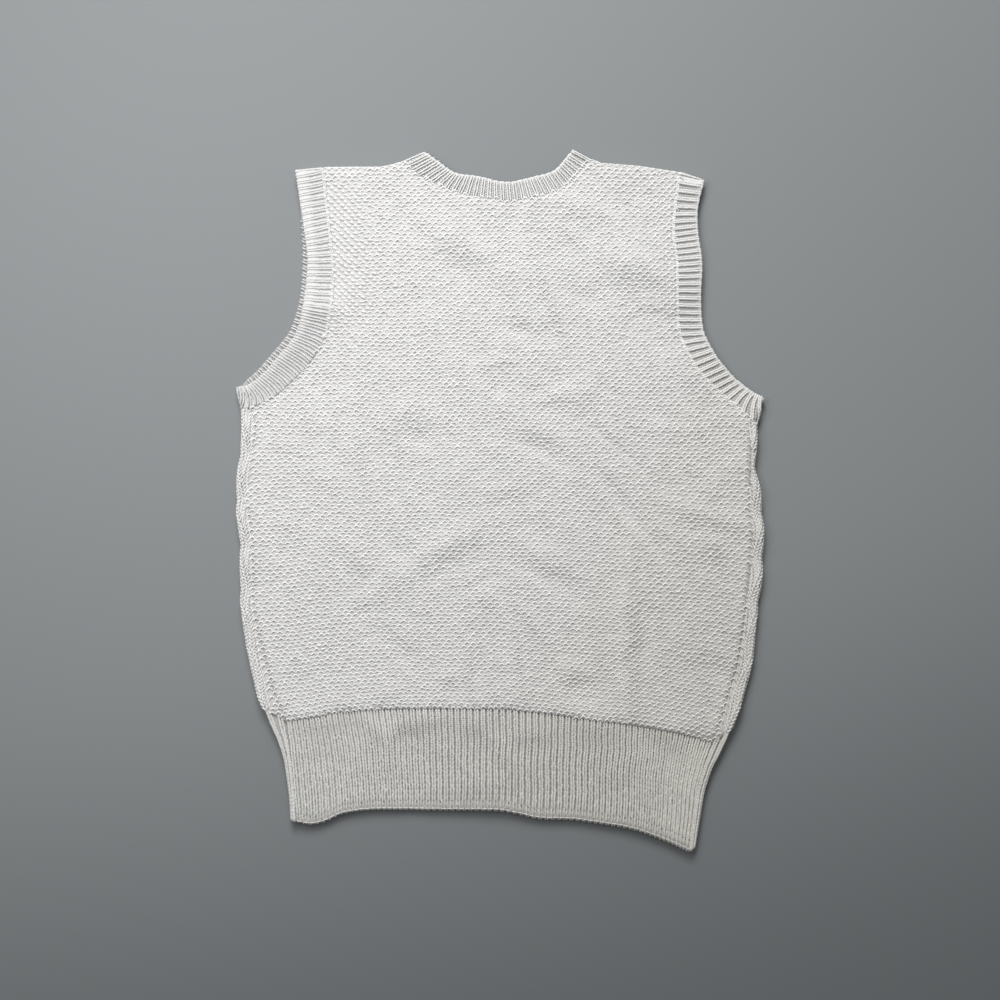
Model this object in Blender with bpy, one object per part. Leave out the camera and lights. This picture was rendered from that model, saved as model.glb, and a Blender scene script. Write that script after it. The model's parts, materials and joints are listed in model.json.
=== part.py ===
"""A knitted sweater vest laid flat on its front, with its back uppermost.

Two knitted panels lie on each other. The front wraps round both side edges and meets the back
at the side seams, which lie on top. Each panel has a ribbed hem, and a ribbed ring is joined to
the neck and to each armhole. +X runs to the right as seen from above, +Y from hem to neck and
+Z up. Lengths are in metres.
"""

import math
from bisect import bisect_right
from collections import Counter, namedtuple

import bmesh
import bpy
from mathutils import Vector

# The cloth
WALL = 0.0030  # thickness of the knitted walls
LAYER_GAP = 0.0004  # from the front, below, to the back that lies on it
SEAM_GAP = 0.0003  # between two pieces at their seam
FOLD_RADIUS = 0.0022  # of the wall's middle where the cloth folds from back to front
RIM = 0.0010  # how far a free edge rounds out

# Ribs and cables, raised from the outer side of the wall
RIB_HEIGHT = 0.0011
BAND_RIB_PITCH = 0.0057
HEM_RIB_PITCH = 0.0061
CABLE_HEIGHT = 0.0020
CABLE_PITCH = 0.0410  # from one crossing to the next
CABLE_LENGTH = 0.1950  # of the stretch below the underarm where the cable shows
CABLE_SHARES = (0.15, 0.40, 0.60, 0.75, 0.90)  # of the cable's width, at the strip's columns

# How far the back stands above its rest height
SIDE_LOFT = 0.0022  # over the side folds of the body
HEM_LOFT = 0.0009  # over the side folds of the hem
HEM_BLEND = 0.0300  # from the one to the other
SHOULDER_LOFT = 0.0011
LOFT_REACH = 0.0180  # from a fold to where its loft has mostly gone
NECK_REACH = 0.0090  # from the neck's corners inwards, for the shoulders' loft
UNDERARM_REACH = 0.0270  # above the underarms, for the sides' loft
BLOUSE = 0.0021  # of the body over the top of the hem rib
BLOUSE_REACH = 0.0280
ROLL = 0.0009  # of the body's lowest edge as it turns in
ROLL_REACH = 0.0050

# The front, hidden below the back
FRONT_NECK_DROP = 0.0900
NECKBAND_DROP = 0.0110  # how much lower its seam runs than the band's free edge
FRONT_HEM_SHORTER = 0.0020

# Steps of the meshes
SHOULDER_STEPS = 4
FRONT_NECK_STEPS = 20
RIB_STEPS = 2  # to each rib, its ridge and its groove
FOLD_ANGLES = (54, 18, -18, -54)  # degrees, round a side fold
BAND_ANGLES = (60, 30, 0, -30, -60)
BAND_ACROSS = (0.0, 0.5, 1.0)  # shares of a band's width, from its free edge to its seam
NEAR_FOLD = 0.0044  # a band's table rows closer than this to its folds are passed over
SHOULDER_ANGLES = (60, 30, 0)
CREASE_ANGLE = 40  # degrees, of an edge that is shaded sharp, such as a rib's
SLOPE_STEP = 0.0020  # over which the slope of the back is measured

FRONT_MID = WALL / 2  # height of the middle of the front's wall
BACK_MID = FRONT_MID + WALL + LAYER_GAP  # and of the back's, where it lies on the front
FOLD_DEPTH = WALL / 2 + FOLD_RADIUS  # from the outline to where a folded wall is level

# The side edges from underarm to hem: the fold, and the seam where the front meets the back
SideRow = namedtuple("SideRow", "fold_x fold_y seam_x seam_y")
LEFT_SIDE = [
    SideRow(-0.2375, 0.0821, -0.2277, 0.0830),
    SideRow(-0.2353, 0.0640, -0.2229, 0.0640),
    SideRow(-0.2386, 0.0320, -0.2279, 0.0320),
    SideRow(-0.2409, 0.0000, -0.2306, 0.0000),
    SideRow(-0.2386, -0.0270, -0.2268, -0.0270),
    SideRow(-0.2369, -0.0550, -0.2249, -0.0550),
    SideRow(-0.2370, -0.0960, -0.2245, -0.0940),
    SideRow(-0.2322, -0.1320, -0.2181, -0.1290),
    SideRow(-0.2278, -0.1535, -0.2114, -0.1550),
    SideRow(-0.2226, -0.1740, -0.2044, -0.1790),
    SideRow(-0.2177, -0.1886, -0.1953, -0.2017),
]
RIGHT_SIDE = [
    SideRow(0.2346, 0.0693, 0.2268, 0.0745),
    SideRow(0.2331, 0.0500, 0.2283, 0.0520),
    SideRow(0.2327, 0.0290, 0.2277, 0.0290),
    SideRow(0.2377, 0.0000, 0.2273, 0.0000),
    SideRow(0.2395, -0.0320, 0.2302, -0.0320),
    SideRow(0.2382, -0.0680, 0.2269, -0.0680),
    SideRow(0.2345, -0.1020, 0.2229, -0.1020),
    SideRow(0.2300, -0.1480, 0.2165, -0.1470),
    SideRow(0.2237, -0.1720, 0.2092, -0.1720),
    SideRow(0.2175, -0.1920, 0.2017, -0.1970),
    SideRow(0.2115, -0.2075, 0.1930, -0.2208),
]
LEFT_HEM_SIDE = [
    SideRow(-0.2177, -0.1886, -0.1953, -0.2017),
    SideRow(-0.2108, -0.2050, -0.1937, -0.2130),
    SideRow(-0.2040, -0.2190, -0.1922, -0.2235),
    SideRow(-0.1982, -0.2360, -0.1908, -0.2370),
    SideRow(-0.1950, -0.2550, -0.1893, -0.2530),
    SideRow(-0.1927, -0.2730, -0.1878, -0.2720),
    SideRow(-0.1916, -0.2910, -0.1866, -0.2920),
]
RIGHT_HEM_SIDE = [
    SideRow(0.2115, -0.2075, 0.1930, -0.2208),
    SideRow(0.2060, -0.2200, 0.1900, -0.2290),
    SideRow(0.2000, -0.2328, 0.1866, -0.2380),
    SideRow(0.1935, -0.2450, 0.1840, -0.2460),
    SideRow(0.1868, -0.2660, 0.1790, -0.2650),
    SideRow(0.1823, -0.2900, 0.1762, -0.2900),
    SideRow(0.1780, -0.3155, 0.1723, -0.3190),
]

# The hem from left to right: the line where body and rib meet, and the rib's free edge
HemRow = namedtuple("HemRow", "across line_y edge_y")
HEM = [
    HemRow(0.00, -0.2017, -0.2920),
    HemRow(0.04, -0.1995, -0.2947),
    HemRow(0.08, -0.1971, -0.2911),
    HemRow(0.12, -0.1934, -0.2847),
    HemRow(0.20, -0.1912, -0.2813),
    HemRow(0.35, -0.1901, -0.2816),
    HemRow(0.50, -0.1903, -0.2818),
    HemRow(0.56, -0.1925, -0.2847),
    HemRow(0.62, -0.1948, -0.2895),
    HemRow(0.70, -0.1994, -0.2904),
    HemRow(0.78, -0.2035, -0.2942),
    HemRow(0.86, -0.2085, -0.2993),
    HemRow(0.93, -0.2135, -0.3080),
    HemRow(1.00, -0.2208, -0.3190),
]

# The bands from fold to fold: the free edge, the seam, and how far the front half lies outside
# the back half. An armhole runs from shoulder to underarm, and its last row but one is where
# the side seam meets it.
BandRow = namedtuple("BandRow", "edge_x edge_y seam_x seam_y front_out")
LEFT_ARMHOLE = [
    BandRow(-0.1866, 0.3011, -0.1615, 0.3039, 0.0000),
    BandRow(-0.1830, 0.2765, -0.1590, 0.2737, 0.0013),
    BandRow(-0.1784, 0.2445, -0.1556, 0.2445, 0.0033),
    BandRow(-0.1755, 0.2163, -0.1525, 0.2135, 0.0055),
    BandRow(-0.1784, 0.1852, -0.1533, 0.1852, 0.0050),
    BandRow(-0.1839, 0.1569, -0.1579, 0.1551, 0.0075),
    BandRow(-0.1921, 0.1424, -0.1647, 0.1378, 0.0085),
    BandRow(-0.2034, 0.1290, -0.1766, 0.1205, 0.0080),
    BandRow(-0.2149, 0.1159, -0.1903, 0.1068, 0.0078),
    BandRow(-0.2290, 0.1045, -0.2100, 0.0910, 0.0060),
    BandRow(-0.2360, 0.1030, -0.2277, 0.0830, 0.0015),
    BandRow(-0.2407, 0.1022, -0.2375, 0.0821, 0.0000),
]
RIGHT_ARMHOLE = [
    BandRow(0.1857, 0.2920, 0.1633, 0.2993, 0.0000),
    BandRow(0.1796, 0.2674, 0.1597, 0.2728, -0.0010),
    BandRow(0.1796, 0.2445, 0.1574, 0.2445, -0.0015),
    BandRow(0.1833, 0.2163, 0.1608, 0.2163, -0.0015),
    BandRow(0.1822, 0.1862, 0.1611, 0.1875, -0.0015),
    BandRow(0.1842, 0.1569, 0.1624, 0.1569, -0.0015),
    BandRow(0.1899, 0.1424, 0.1684, 0.1390, -0.0015),
    BandRow(0.1994, 0.1268, 0.1777, 0.1215, -0.0015),
    BandRow(0.2140, 0.1104, 0.1925, 0.1050, -0.0015),
    BandRow(0.2289, 0.0985, 0.2100, 0.0890, -0.0010),
    BandRow(0.2372, 0.0940, 0.2268, 0.0745, -0.0003),
    BandRow(0.2411, 0.0914, 0.2346, 0.0693, 0.0000),
]
BACK_NECK = [
    BandRow(-0.0702, 0.3174, -0.0899, 0.3089, 0.0),
    BandRow(-0.0634, 0.3127, -0.0821, 0.3034, 0.0),
    BandRow(-0.0548, 0.3068, -0.0730, 0.2956, 0.0),
    BandRow(-0.0461, 0.3002, -0.0607, 0.2885, 0.0),
    BandRow(-0.0379, 0.2965, -0.0470, 0.2829, 0.0),
    BandRow(-0.0269, 0.2954, -0.0333, 0.2787, 0.0),
    BandRow(-0.0160, 0.2935, -0.0187, 0.2762, 0.0),
    BandRow(-0.0032, 0.2902, -0.0027, 0.2740, 0.0),
    BandRow(0.0096, 0.2894, 0.0114, 0.2727, 0.0),
    BandRow(0.0214, 0.2918, 0.0260, 0.2749, 0.0),
    BandRow(0.0333, 0.2947, 0.0415, 0.2785, 0.0),
    BandRow(0.0443, 0.2975, 0.0538, 0.2825, 0.0),
    BandRow(0.0516, 0.3015, 0.0625, 0.2887, 0.0),
    BandRow(0.0579, 0.3090, 0.0710, 0.2988, 0.0),
    BandRow(0.0667, 0.3194, 0.0835, 0.3112, 0.0),
]

# The shoulder edges between armhole seam and neck seam
ShoulderRow = namedtuple("ShoulderRow", "x y")
LEFT_SHOULDER = [
    ShoulderRow(-0.1615, 0.3039),
    ShoulderRow(-0.1100, 0.3039),
    ShoulderRow(-0.1010, 0.3056),
    ShoulderRow(-0.0899, 0.3089),
]
RIGHT_SHOULDER = [
    ShoulderRow(0.0835, 0.3112),
    ShoulderRow(0.0926, 0.3075),
    ShoulderRow(0.1264, 0.3048),
    ShoulderRow(0.1633, 0.2993),
]

# Soft ridges and troughs of the back: centre, half length, half width, turn in degrees
# anticlockwise from +X, and lift
Crease = namedtuple("Crease", "x y length width turn lift")
CREASES = [
    Crease(0.000, 0.060, 0.300, 0.260, 0, 0.0007),  # loft of the whole back
    Crease(0.100, 0.275, 0.050, 0.016, -50, -0.0009),  # trough from the right of the neck
    Crease(0.125, 0.255, 0.050, 0.014, -50, 0.0007),
    Crease(0.028, 0.262, 0.022, 0.009, 80, 0.0012),  # pucker under the neckband
    Crease(0.016, 0.258, 0.020, 0.007, 85, -0.0007),
    Crease(0.060, 0.110, 0.090, 0.030, 55, 0.0008),  # broad waves across the body
    Crease(-0.080, 0.020, 0.110, 0.035, 35, 0.0008),
    Crease(0.120, -0.040, 0.100, 0.030, 60, 0.0009),
    Crease(-0.120, -0.120, 0.090, 0.028, -20, 0.0007),
    Crease(0.030, -0.150, 0.120, 0.025, 5, 0.0006),
    Crease(0.190, 0.235, 0.060, 0.018, 90, 0.0012),  # lifted edge at the right armhole
    Crease(-0.165, -0.283, 0.030, 0.012, 10, 0.0009),  # waves of the hem's free edge
    Crease(0.000, -0.280, 0.060, 0.012, 0, 0.0007),
    Crease(0.130, -0.300, 0.060, 0.014, -25, 0.0010),
]

CREAM = (0.77, 0.76, 0.72)
CREAM_RIB = (0.74, 0.73, 0.69)


# Curves through the tables


def refine(rows, parts):
    """The rows of a table with `parts` steps to each, along a smooth curve through them."""
    smooth = []
    for i in range(len(rows) - 1):
        before, start = rows[max(i - 1, 0)], rows[i]
        end, after = rows[i + 1], rows[min(i + 2, len(rows) - 1)]
        for k in range(parts):
            t = k / parts
            smooth.append([
                b + t / 2 * (c - a + t * (2 * a - 5 * b + 4 * c - d + t * (3 * (b - c) + d - a)))
                for a, b, c, d in zip(before, start, end, after)
            ])
    return smooth + [list(rows[-1])]


def split(rows, parts):
    """The rows with `parts` even, straight steps to each."""
    steps = []
    for start, end in zip(rows, rows[1:]):
        steps += [[a + (b - a) * k / parts for a, b in zip(start, end)] for k in range(parts)]
    return steps + [list(rows[-1])]


def value_at(pairs, t):
    """The second number of rising pairs at t, in straight steps and level past the ends."""
    if t <= pairs[0][0]:
        return pairs[0][1]
    if t >= pairs[-1][0]:
        return pairs[-1][1]
    i = bisect_right([pair[0] for pair in pairs], t)
    (t0, v0), (t1, v1) = pairs[i - 1], pairs[i]
    return v0 + (v1 - v0) * (t - t0) / (t1 - t0)


def lengths(points):
    """The distance along a line of points to each of them."""
    along = [0.0]
    for a, b in zip(points, points[1:]):
        along.append(along[-1] + (b - a).length)
    return along


def walk(points, distance):
    """The point this far along a line of points."""
    along = lengths(points)
    return Vector([value_at([(s, p[k]) for s, p in zip(along, points)], distance) for k in (0, 1)])


def moved_left(points, distance):
    """A line of points moved to its own left."""
    moved = []
    for i, point in enumerate(points):
        ahead = points[min(i + 1, len(points) - 1)] - points[max(i - 1, 0)]
        moved.append(point + Vector((-ahead.y, ahead.x)).normalized() * distance)
    return moved


def bell(distance, reach):
    return math.exp(-((distance / reach) ** 2))


def fade(distance, reach):
    """A bell that stays at 1 on the near side."""
    return bell(max(0.0, distance), reach)


def unit(angle):
    return Vector((math.cos(angle), math.sin(angle)))


# Lines that neighbouring pieces share

left_side = refine(LEFT_SIDE, 2)
right_side = refine(RIGHT_SIDE, 2)
left_armhole = refine(LEFT_ARMHOLE[:-1], 2) + [list(LEFT_ARMHOLE[-1])]
right_armhole = refine(RIGHT_ARMHOLE[:-1], 2) + [list(RIGHT_ARMHOLE[-1])]
back_neck = [
    smooth[:2] + straight[2:]
    for smooth, straight in zip(refine(BACK_NECK, 2), split(BACK_NECK, 2))
]
left_shoulder = [Vector(p) for p in LEFT_SHOULDER]
right_shoulder = [Vector(p) for p in RIGHT_SHOULDER]

LEFT_FOLD = sorted({(y, x) for x, y, _, _ in left_side + LEFT_HEM_SIDE})
RIGHT_FOLD = sorted({(y, x) for x, y, _, _ in right_side + RIGHT_HEM_SIDE})
SHOULDER_EDGE = (
    [(LEFT_ARMHOLE[0].edge_x, LEFT_ARMHOLE[0].edge_y)]
    + [tuple(p) for p in LEFT_SHOULDER]
    + [(BACK_NECK[0].edge_x, BACK_NECK[0].edge_y)]
    + [(BACK_NECK[-1].edge_x, BACK_NECK[-1].edge_y)]
    + [tuple(p) for p in RIGHT_SHOULDER]
    + [(RIGHT_ARMHOLE[0].edge_x, RIGHT_ARMHOLE[0].edge_y)]
)


def edges_of(rows):
    """The free edge and the seam of a band's rows."""
    return [Vector(row[0:2]) for row in rows], [Vector(row[2:4]) for row in rows]


def front_rows(rows):
    """A band's rows moved outwards to where its front half lies."""
    moved = []
    for edge_x, edge_y, seam_x, seam_y, out in rows:
        edge, seam = Vector((edge_x, edge_y)), Vector((seam_x, seam_y))
        shift = (edge - seam).normalized() * out
        moved.append([*(edge + shift), *(seam + shift)])
    return moved


def front_neck_rows():
    """The neckband's front half, a deep round neckline between the two shoulder folds."""
    first, last = BACK_NECK[0], BACK_NECK[-1]
    rows = []
    for k in range(FRONT_NECK_STEPS + 1):
        angle = math.pi * k / FRONT_NECK_STEPS
        across, drop = (1 - math.cos(angle)) / 2, math.sin(angle)
        point = [a + (b - a) * across for a, b in zip(first, last)]
        point[1] -= FRONT_NECK_DROP * drop
        point[3] -= (FRONT_NECK_DROP + NECKBAND_DROP) * drop
        rows.append(point)
    return rows


def neck_and_shoulder_line(neck_seam, left_cut, right_cut):
    """The top edge of a panel's level part, from armhole to armhole, and each point's fold.

    Each item is a point and, on the shoulders, the outline point above it, which is None along
    the neck. The cuts are how far below the outline the level part ends at the armholes.
    """
    sides = []
    neck_ends = (walk(neck_seam, FOLD_DEPTH), walk(neck_seam[::-1], FOLD_DEPTH))
    for shoulder, armhole_cut, neck_cut in (
        (left_shoulder, left_cut, neck_ends[0]),
        (right_shoulder[::-1], right_cut, neck_ends[1]),
    ):
        total = lengths(shoulder)[-1]
        side = []
        for k in range(SHOULDER_STEPS + 1):
            t = k / SHOULDER_STEPS
            outline = walk(shoulder, total * t)
            down = (armhole_cut - shoulder[0]) * (1 - t) + (neck_cut - shoulder[-1]) * t
            side.append((outline + down, outline))
        sides.append(side)
    return sides[0] + [(p, None) for p in neck_seam[1:-1]] + sides[1][::-1]


left_seam = [Vector(row[2:4]) for row in left_side[::-1] + left_armhole[:-2][::-1]]
right_seam = [Vector(row[2:4]) for row in right_side[::-1] + right_armhole[:-2][::-1]]
left_seam[-1] = walk(left_seam[::-1], FOLD_DEPTH)
right_seam[-1] = walk(right_seam[::-1], FOLD_DEPTH)
back_top = neck_and_shoulder_line(edges_of(BACK_NECK)[1], left_seam[-1], right_seam[-1])

# Where the columns of the back are, as shares of its width, and the hem at each of them
columns = [
    (point.x - left_seam[-1].x) / (right_seam[-1].x - left_seam[-1].x) for point, _ in back_top
]
hem_rows = [
    [value_at([(row[0], row[k]) for row in refine(HEM, 4)], share) for k in range(3)]
    for share in columns
]


def hem_line(share):
    return value_at([row[0:2] for row in hem_rows], share)


def hem_edge(share):
    return value_at([(row[0], row[2]) for row in refine(HEM, 4)], share)


# Heights of the back


def body_line_y(x):
    """Height in the plane of the line where the body meets the hem, from fold to fold."""
    left, right = LEFT_HEM_SIDE[0], RIGHT_HEM_SIDE[0]
    if x < left.seam_x:
        return value_at([(left.fold_x, left.fold_y), (left.seam_x, left.seam_y)], x)
    if x > right.seam_x:
        return value_at([(right.seam_x, right.seam_y), (right.fold_x, right.fold_y)], x)
    return hem_line((x - left.seam_x) / (right.seam_x - left.seam_x))


def side_loft(x, y):
    """Loft by the side folds, lower in the hem, which fades out above the underarms."""
    loft = 0.0
    for fold, sign, side, hem_side in (
        (LEFT_FOLD, 1, LEFT_SIDE, LEFT_HEM_SIDE),
        (RIGHT_FOLD, -1, RIGHT_SIDE, RIGHT_HEM_SIDE),
    ):
        in_hem = value_at([(0.0, 0.0), (HEM_BLEND, 1.0)], hem_side[0].fold_y - y)
        height = SIDE_LOFT + (HEM_LOFT - SIDE_LOFT) * in_hem
        inwards = sign * (x - value_at(fold, y))
        loft += height * fade(inwards, LOFT_REACH) * fade(y - side[0].fold_y, UNDERARM_REACH)
    return loft


def shoulder_loft(x, y):
    inside_neck = min(x - BACK_NECK[0].edge_x, BACK_NECK[-1].edge_x - x)
    below = value_at(SHOULDER_EDGE, x) - y
    return SHOULDER_LOFT * fade(below, LOFT_REACH) * fade(inside_neck, NECK_REACH)


def crease_loft(x, y):
    loft = 0.0
    for crease in CREASES:
        turn = math.radians(crease.turn)
        offset = Vector((x - crease.x, y - crease.y))
        along, aside = offset.dot(unit(turn)), offset.dot(unit(turn + math.pi / 2))
        loft += crease.lift * bell(along, crease.length) * bell(aside, crease.width)
    return max(0.0, loft)


def back_height(point, in_body=True):
    """Height of the middle of the back's wall. The body blouses over the hem rib."""
    x, y = point
    height = BACK_MID + side_loft(x, y) + shoulder_loft(x, y) + crease_loft(x, y)
    if in_body:
        above_hem = y - body_line_y(x)
        height += BLOUSE * fade(above_hem, BLOUSE_REACH) - ROLL * fade(above_hem, ROLL_REACH)
    return height


def back_normal(point, in_body=True):
    x, y = point
    step = SLOPE_STEP
    rise_x = back_height((x + step, y), in_body) - back_height((x - step, y), in_body)
    rise_y = back_height((x, y + step), in_body) - back_height((x, y - step), in_body)
    return Vector((-rise_x, -rise_y, 2 * step)).normalized()


# Walls


class Cloth:
    """A wall built from points on its middle, each with an outer and an inner side."""

    def __init__(self):
        self.numbers = {}
        self.outer, self.inner, self.rims = [], [], []
        self.faces = []

    def point(self, middle, normal, relief=0.0, rim=None):
        """The number of the wall point here. A point made before is used again."""
        key = tuple(round(c * 1e5) for c in middle)
        if key not in self.numbers:
            self.numbers[key] = len(self.outer)
            self.outer.append(middle + normal * (WALL / 2 + relief))
            self.inner.append(middle - normal * (WALL / 2))
            self.rims.append(None if rim is None else middle + rim)
        return self.numbers[key]

    def grid(self, rows, ring=False):
        """Four-sided faces between rows of point numbers, and from last to first for a ring."""
        for below, above in zip(rows, rows[1:] + (rows[:1] if ring else [])):
            for i in range(len(below) - 1):
                self.faces.append([below[i], below[i + 1], above[i + 1], above[i]])

    def open_edges(self):
        """The edges of one face only, in that face's direction."""
        sides = [side for face in self.faces for side in zip(face, face[1:] + face[:1])]
        count = Counter(tuple(sorted(side)) for side in sides)
        return [side for side in sides if count[tuple(sorted(side))] == 1]

    def solid(self, name, material):
        """The closed wall as a Blender object."""
        bm = bmesh.new()
        outer = [bm.verts.new(p) for p in self.outer]
        inner = [bm.verts.new(p) for p in self.inner]
        open_edges = self.open_edges()
        on_edge = {number for side in open_edges for number in side}
        rims = {i: bm.verts.new(self.rims[i]) for i in on_edge if self.rims[i] is not None}
        for face in self.faces:
            bm.faces.new([outer[i] for i in face])
            bm.faces.new([inner[i] for i in reversed(face)])
        for a, b in open_edges:
            rim_a, rim_b = rims.get(a), rims.get(b)
            if rim_a and rim_b:
                bm.faces.new([outer[b], outer[a], rim_a, rim_b])
                bm.faces.new([rim_b, rim_a, inner[a], inner[b]])
            else:
                corners = [outer[b], outer[a], rim_a, inner[a], inner[b], rim_b]
                bm.faces.new([corner for corner in corners if corner])
        bmesh.ops.recalc_face_normals(bm, faces=bm.faces[:])
        mesh = bpy.data.meshes.new(name)
        bm.to_mesh(mesh)
        bm.free()
        mesh.shade_smooth()
        mesh.set_sharp_from_angle(angle=math.radians(CREASE_ANGLE))
        mesh.materials.append(material)
        bpy.context.scene.collection.objects.link(bpy.data.objects.new(name, mesh))


def fold_inset(angle):
    """How far inside the outline the middle of a folded wall is, at this angle round it."""
    return WALL / 2 + FOLD_RADIUS * (1 - math.cos(angle))


def folded(outline, level, angle, in_body=True):
    """Middle and normal of a wall that folds over at the outline and is level at `level`."""
    inward = (level - outline).normalized()
    plan = outline.lerp(level, fold_inset(angle) / FOLD_DEPTH)
    rise = (back_height(level, in_body) - FRONT_MID) / 2
    outward = -inward * math.cos(angle) * rise
    normal = Vector((outward.x, outward.y, math.sin(angle) * FOLD_RADIUS)).normalized()
    middle = Vector((plan.x, plan.y, FRONT_MID + rise * (1 + math.sin(angle))))
    return middle, normal


def on_back(cloth, plan, relief=0.0, rim=None, in_body=True):
    middle = Vector((plan.x, plan.y, back_height(plan, in_body)))
    return cloth.point(middle, back_normal(plan, in_body), relief, rim)


def on_front(cloth, plan, rim=None):
    middle = Vector((plan.x, plan.y, FRONT_MID))
    return cloth.point(middle, Vector((0, 0, -1)), rim=rim)


# The bands


def level_sections(rows):
    """A band's pairs of free-edge and seam points between the level ends of its two folds."""
    edge, seam = edges_of(rows)
    start = (walk(edge, FOLD_DEPTH), walk(seam, FOLD_DEPTH))
    end = (walk(edge[::-1], FOLD_DEPTH), walk(seam[::-1], FOLD_DEPTH))
    along = [lengths(edge), lengths(seam)]
    inside = [
        (edge[k], seam[k])
        for k in range(len(rows))
        if all(NEAR_FOLD < line[k] < line[-1] - NEAR_FOLD for line in along)
    ]
    return [start] + inside + [end]


def stepped(sections, count):
    """The sections resampled in `count` even steps along their middle line."""
    along = lengths([(edge + seam) / 2 for edge, seam in sections])
    pairs = [
        [(s, numbers[axis]) for s, numbers in zip(along, [[*e, *m] for e, m in sections])]
        for axis in range(4)
    ]
    found = []
    for k in range(count + 1):
        values = [value_at(axis_pairs, along[-1] * k / count) for axis_pairs in pairs]
        found.append((Vector(values[0:2]), Vector(values[2:4])))
    return found


def across_band(edge, seam):
    """Plan points from the free edge's rim to the seam, with the rim's direction."""
    outward = (edge - seam).normalized()
    first, last = edge - outward * RIM, seam + outward * SEAM_GAP / 2
    return [first.lerp(last, t) for t in BAND_ACROSS], outward


def band_row(cloth, edge, seam, layer, relief=0.0):
    points, outward = across_band(edge, seam)
    rim = Vector((outward.x, outward.y, 0)) * RIM
    if layer == "back":
        return [on_back(cloth, p, relief, rim if i == 0 else None) for i, p in enumerate(points)]
    return [on_front(cloth, p, rim if i == 0 else None) for i, p in enumerate(points)]


def band_fold(cloth, outline, level, angle):
    """A row of points round a band's fold, which goes over at the outline."""
    outline_points, outward = across_band(*outline)
    level_points, _ = across_band(*level)
    rim = Vector((outward.x, outward.y, 0)) * RIM
    row = []
    for i, (outer_point, level_point) in enumerate(zip(outline_points, level_points)):
        middle, normal = folded(outer_point, level_point, angle)
        row.append(cloth.point(middle, normal, rim=rim if i == 0 else None))
    return row


def band(name, back_rows, front_rows_, material):
    """A ribbed ring: its back half on top, folded at both ends to its front half below."""
    cloth = Cloth()
    back, front = level_sections(back_rows), level_sections(front_rows_)
    edge, seam = edges_of(back_rows)
    length = lengths([(e + s) / 2 for e, s in back])[-1]
    steps = RIB_STEPS * round(length / BAND_RIB_PITCH)
    rows = []
    for k, (edge_point, seam_point) in enumerate(stepped(back, steps)):
        relief = RIB_HEIGHT * (0.5 if k % RIB_STEPS else -0.5)
        rows.append(band_row(cloth, edge_point, seam_point, "back", relief))
    for degrees in BAND_ANGLES:
        level = back[-1] if degrees >= 0 else front[-1]
        rows.append(band_fold(cloth, (edge[-1], seam[-1]), level, math.radians(degrees)))
    rows += [band_row(cloth, e, s, "front") for e, s in reversed(front)]
    for degrees in reversed(BAND_ANGLES):
        level = back[0] if degrees >= 0 else front[0]
        rows.append(band_fold(cloth, (edge[0], seam[0]), level, math.radians(degrees)))
    cloth.grid(rows, ring=True)
    cloth.solid(name, material)


# The panels


def back_panel(material):
    cloth = Cloth()
    left, right = moved_left(left_seam, -SEAM_GAP / 2), moved_left(right_seam, SEAM_GAP / 2)
    along = [(a + b) / 2 for a, b in zip(lengths(left), lengths(right))]
    lowered = moved_left([point for point, _ in back_top], -SEAM_GAP / 2)
    rows = []
    for j, (start, end) in enumerate(zip(left, right)):
        t = along[j] / along[-1]
        row = []
        for i, share in enumerate(columns):
            plan = start.lerp(end, share)
            hem_y = hem_line(share) - hem_line(0) * (1 - share) - hem_line(1) * share
            plan.y += (hem_y + (SEAM_GAP / 2 if j == 0 else 0)) * (1 - t) ** 2
            plan += (lowered[i] - left[-1].lerp(right[-1], share)) * t**3
            row.append(plan)
        rows.append(row)
    cloth.grid([[on_back(cloth, plan) for plan in row] for row in rows])
    add_shoulders(cloth, back_top, rows[-1], 1)
    cloth.solid("back_panel", material)


def add_shoulders(cloth, top, level_row, side):
    """Quarter folds from a panel's level part to the shoulder seam at half height.

    `side` is 1 for the back, which comes down to the seam, and -1 for the front.
    """
    last = len(top) - 1
    level_point = on_back if side > 0 else on_front
    for shoulder in (range(SHOULDER_STEPS + 1), range(last - SHOULDER_STEPS, last + 1)):
        rows = [[level_point(cloth, level_row[i]) for i in shoulder]]
        for degrees in SHOULDER_ANGLES:
            row = []
            for i in shoulder:
                outline = top[i][1] + level_row[i] - top[i][0]
                middle, normal = folded(outline, level_row[i], side * math.radians(degrees))
                middle.z += side * SEAM_GAP / 2 if degrees == 0 else 0.0
                row.append(cloth.point(middle, normal))
            rows.append(row)
        cloth.grid(rows if side > 0 else rows[::-1])


def cable(distance, share):
    """Relief of the cable along the side fold, this share of the way across it."""
    if distance > CABLE_LENGTH:
        return 0.0
    lobe = abs(math.sin(math.pi * distance / CABLE_PITCH))
    ending = min(1.0, (CABLE_LENGTH - distance) / CABLE_PITCH)
    return CABLE_HEIGHT * (lobe - 0.5) * math.sin(math.pi * share) * ending


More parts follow.
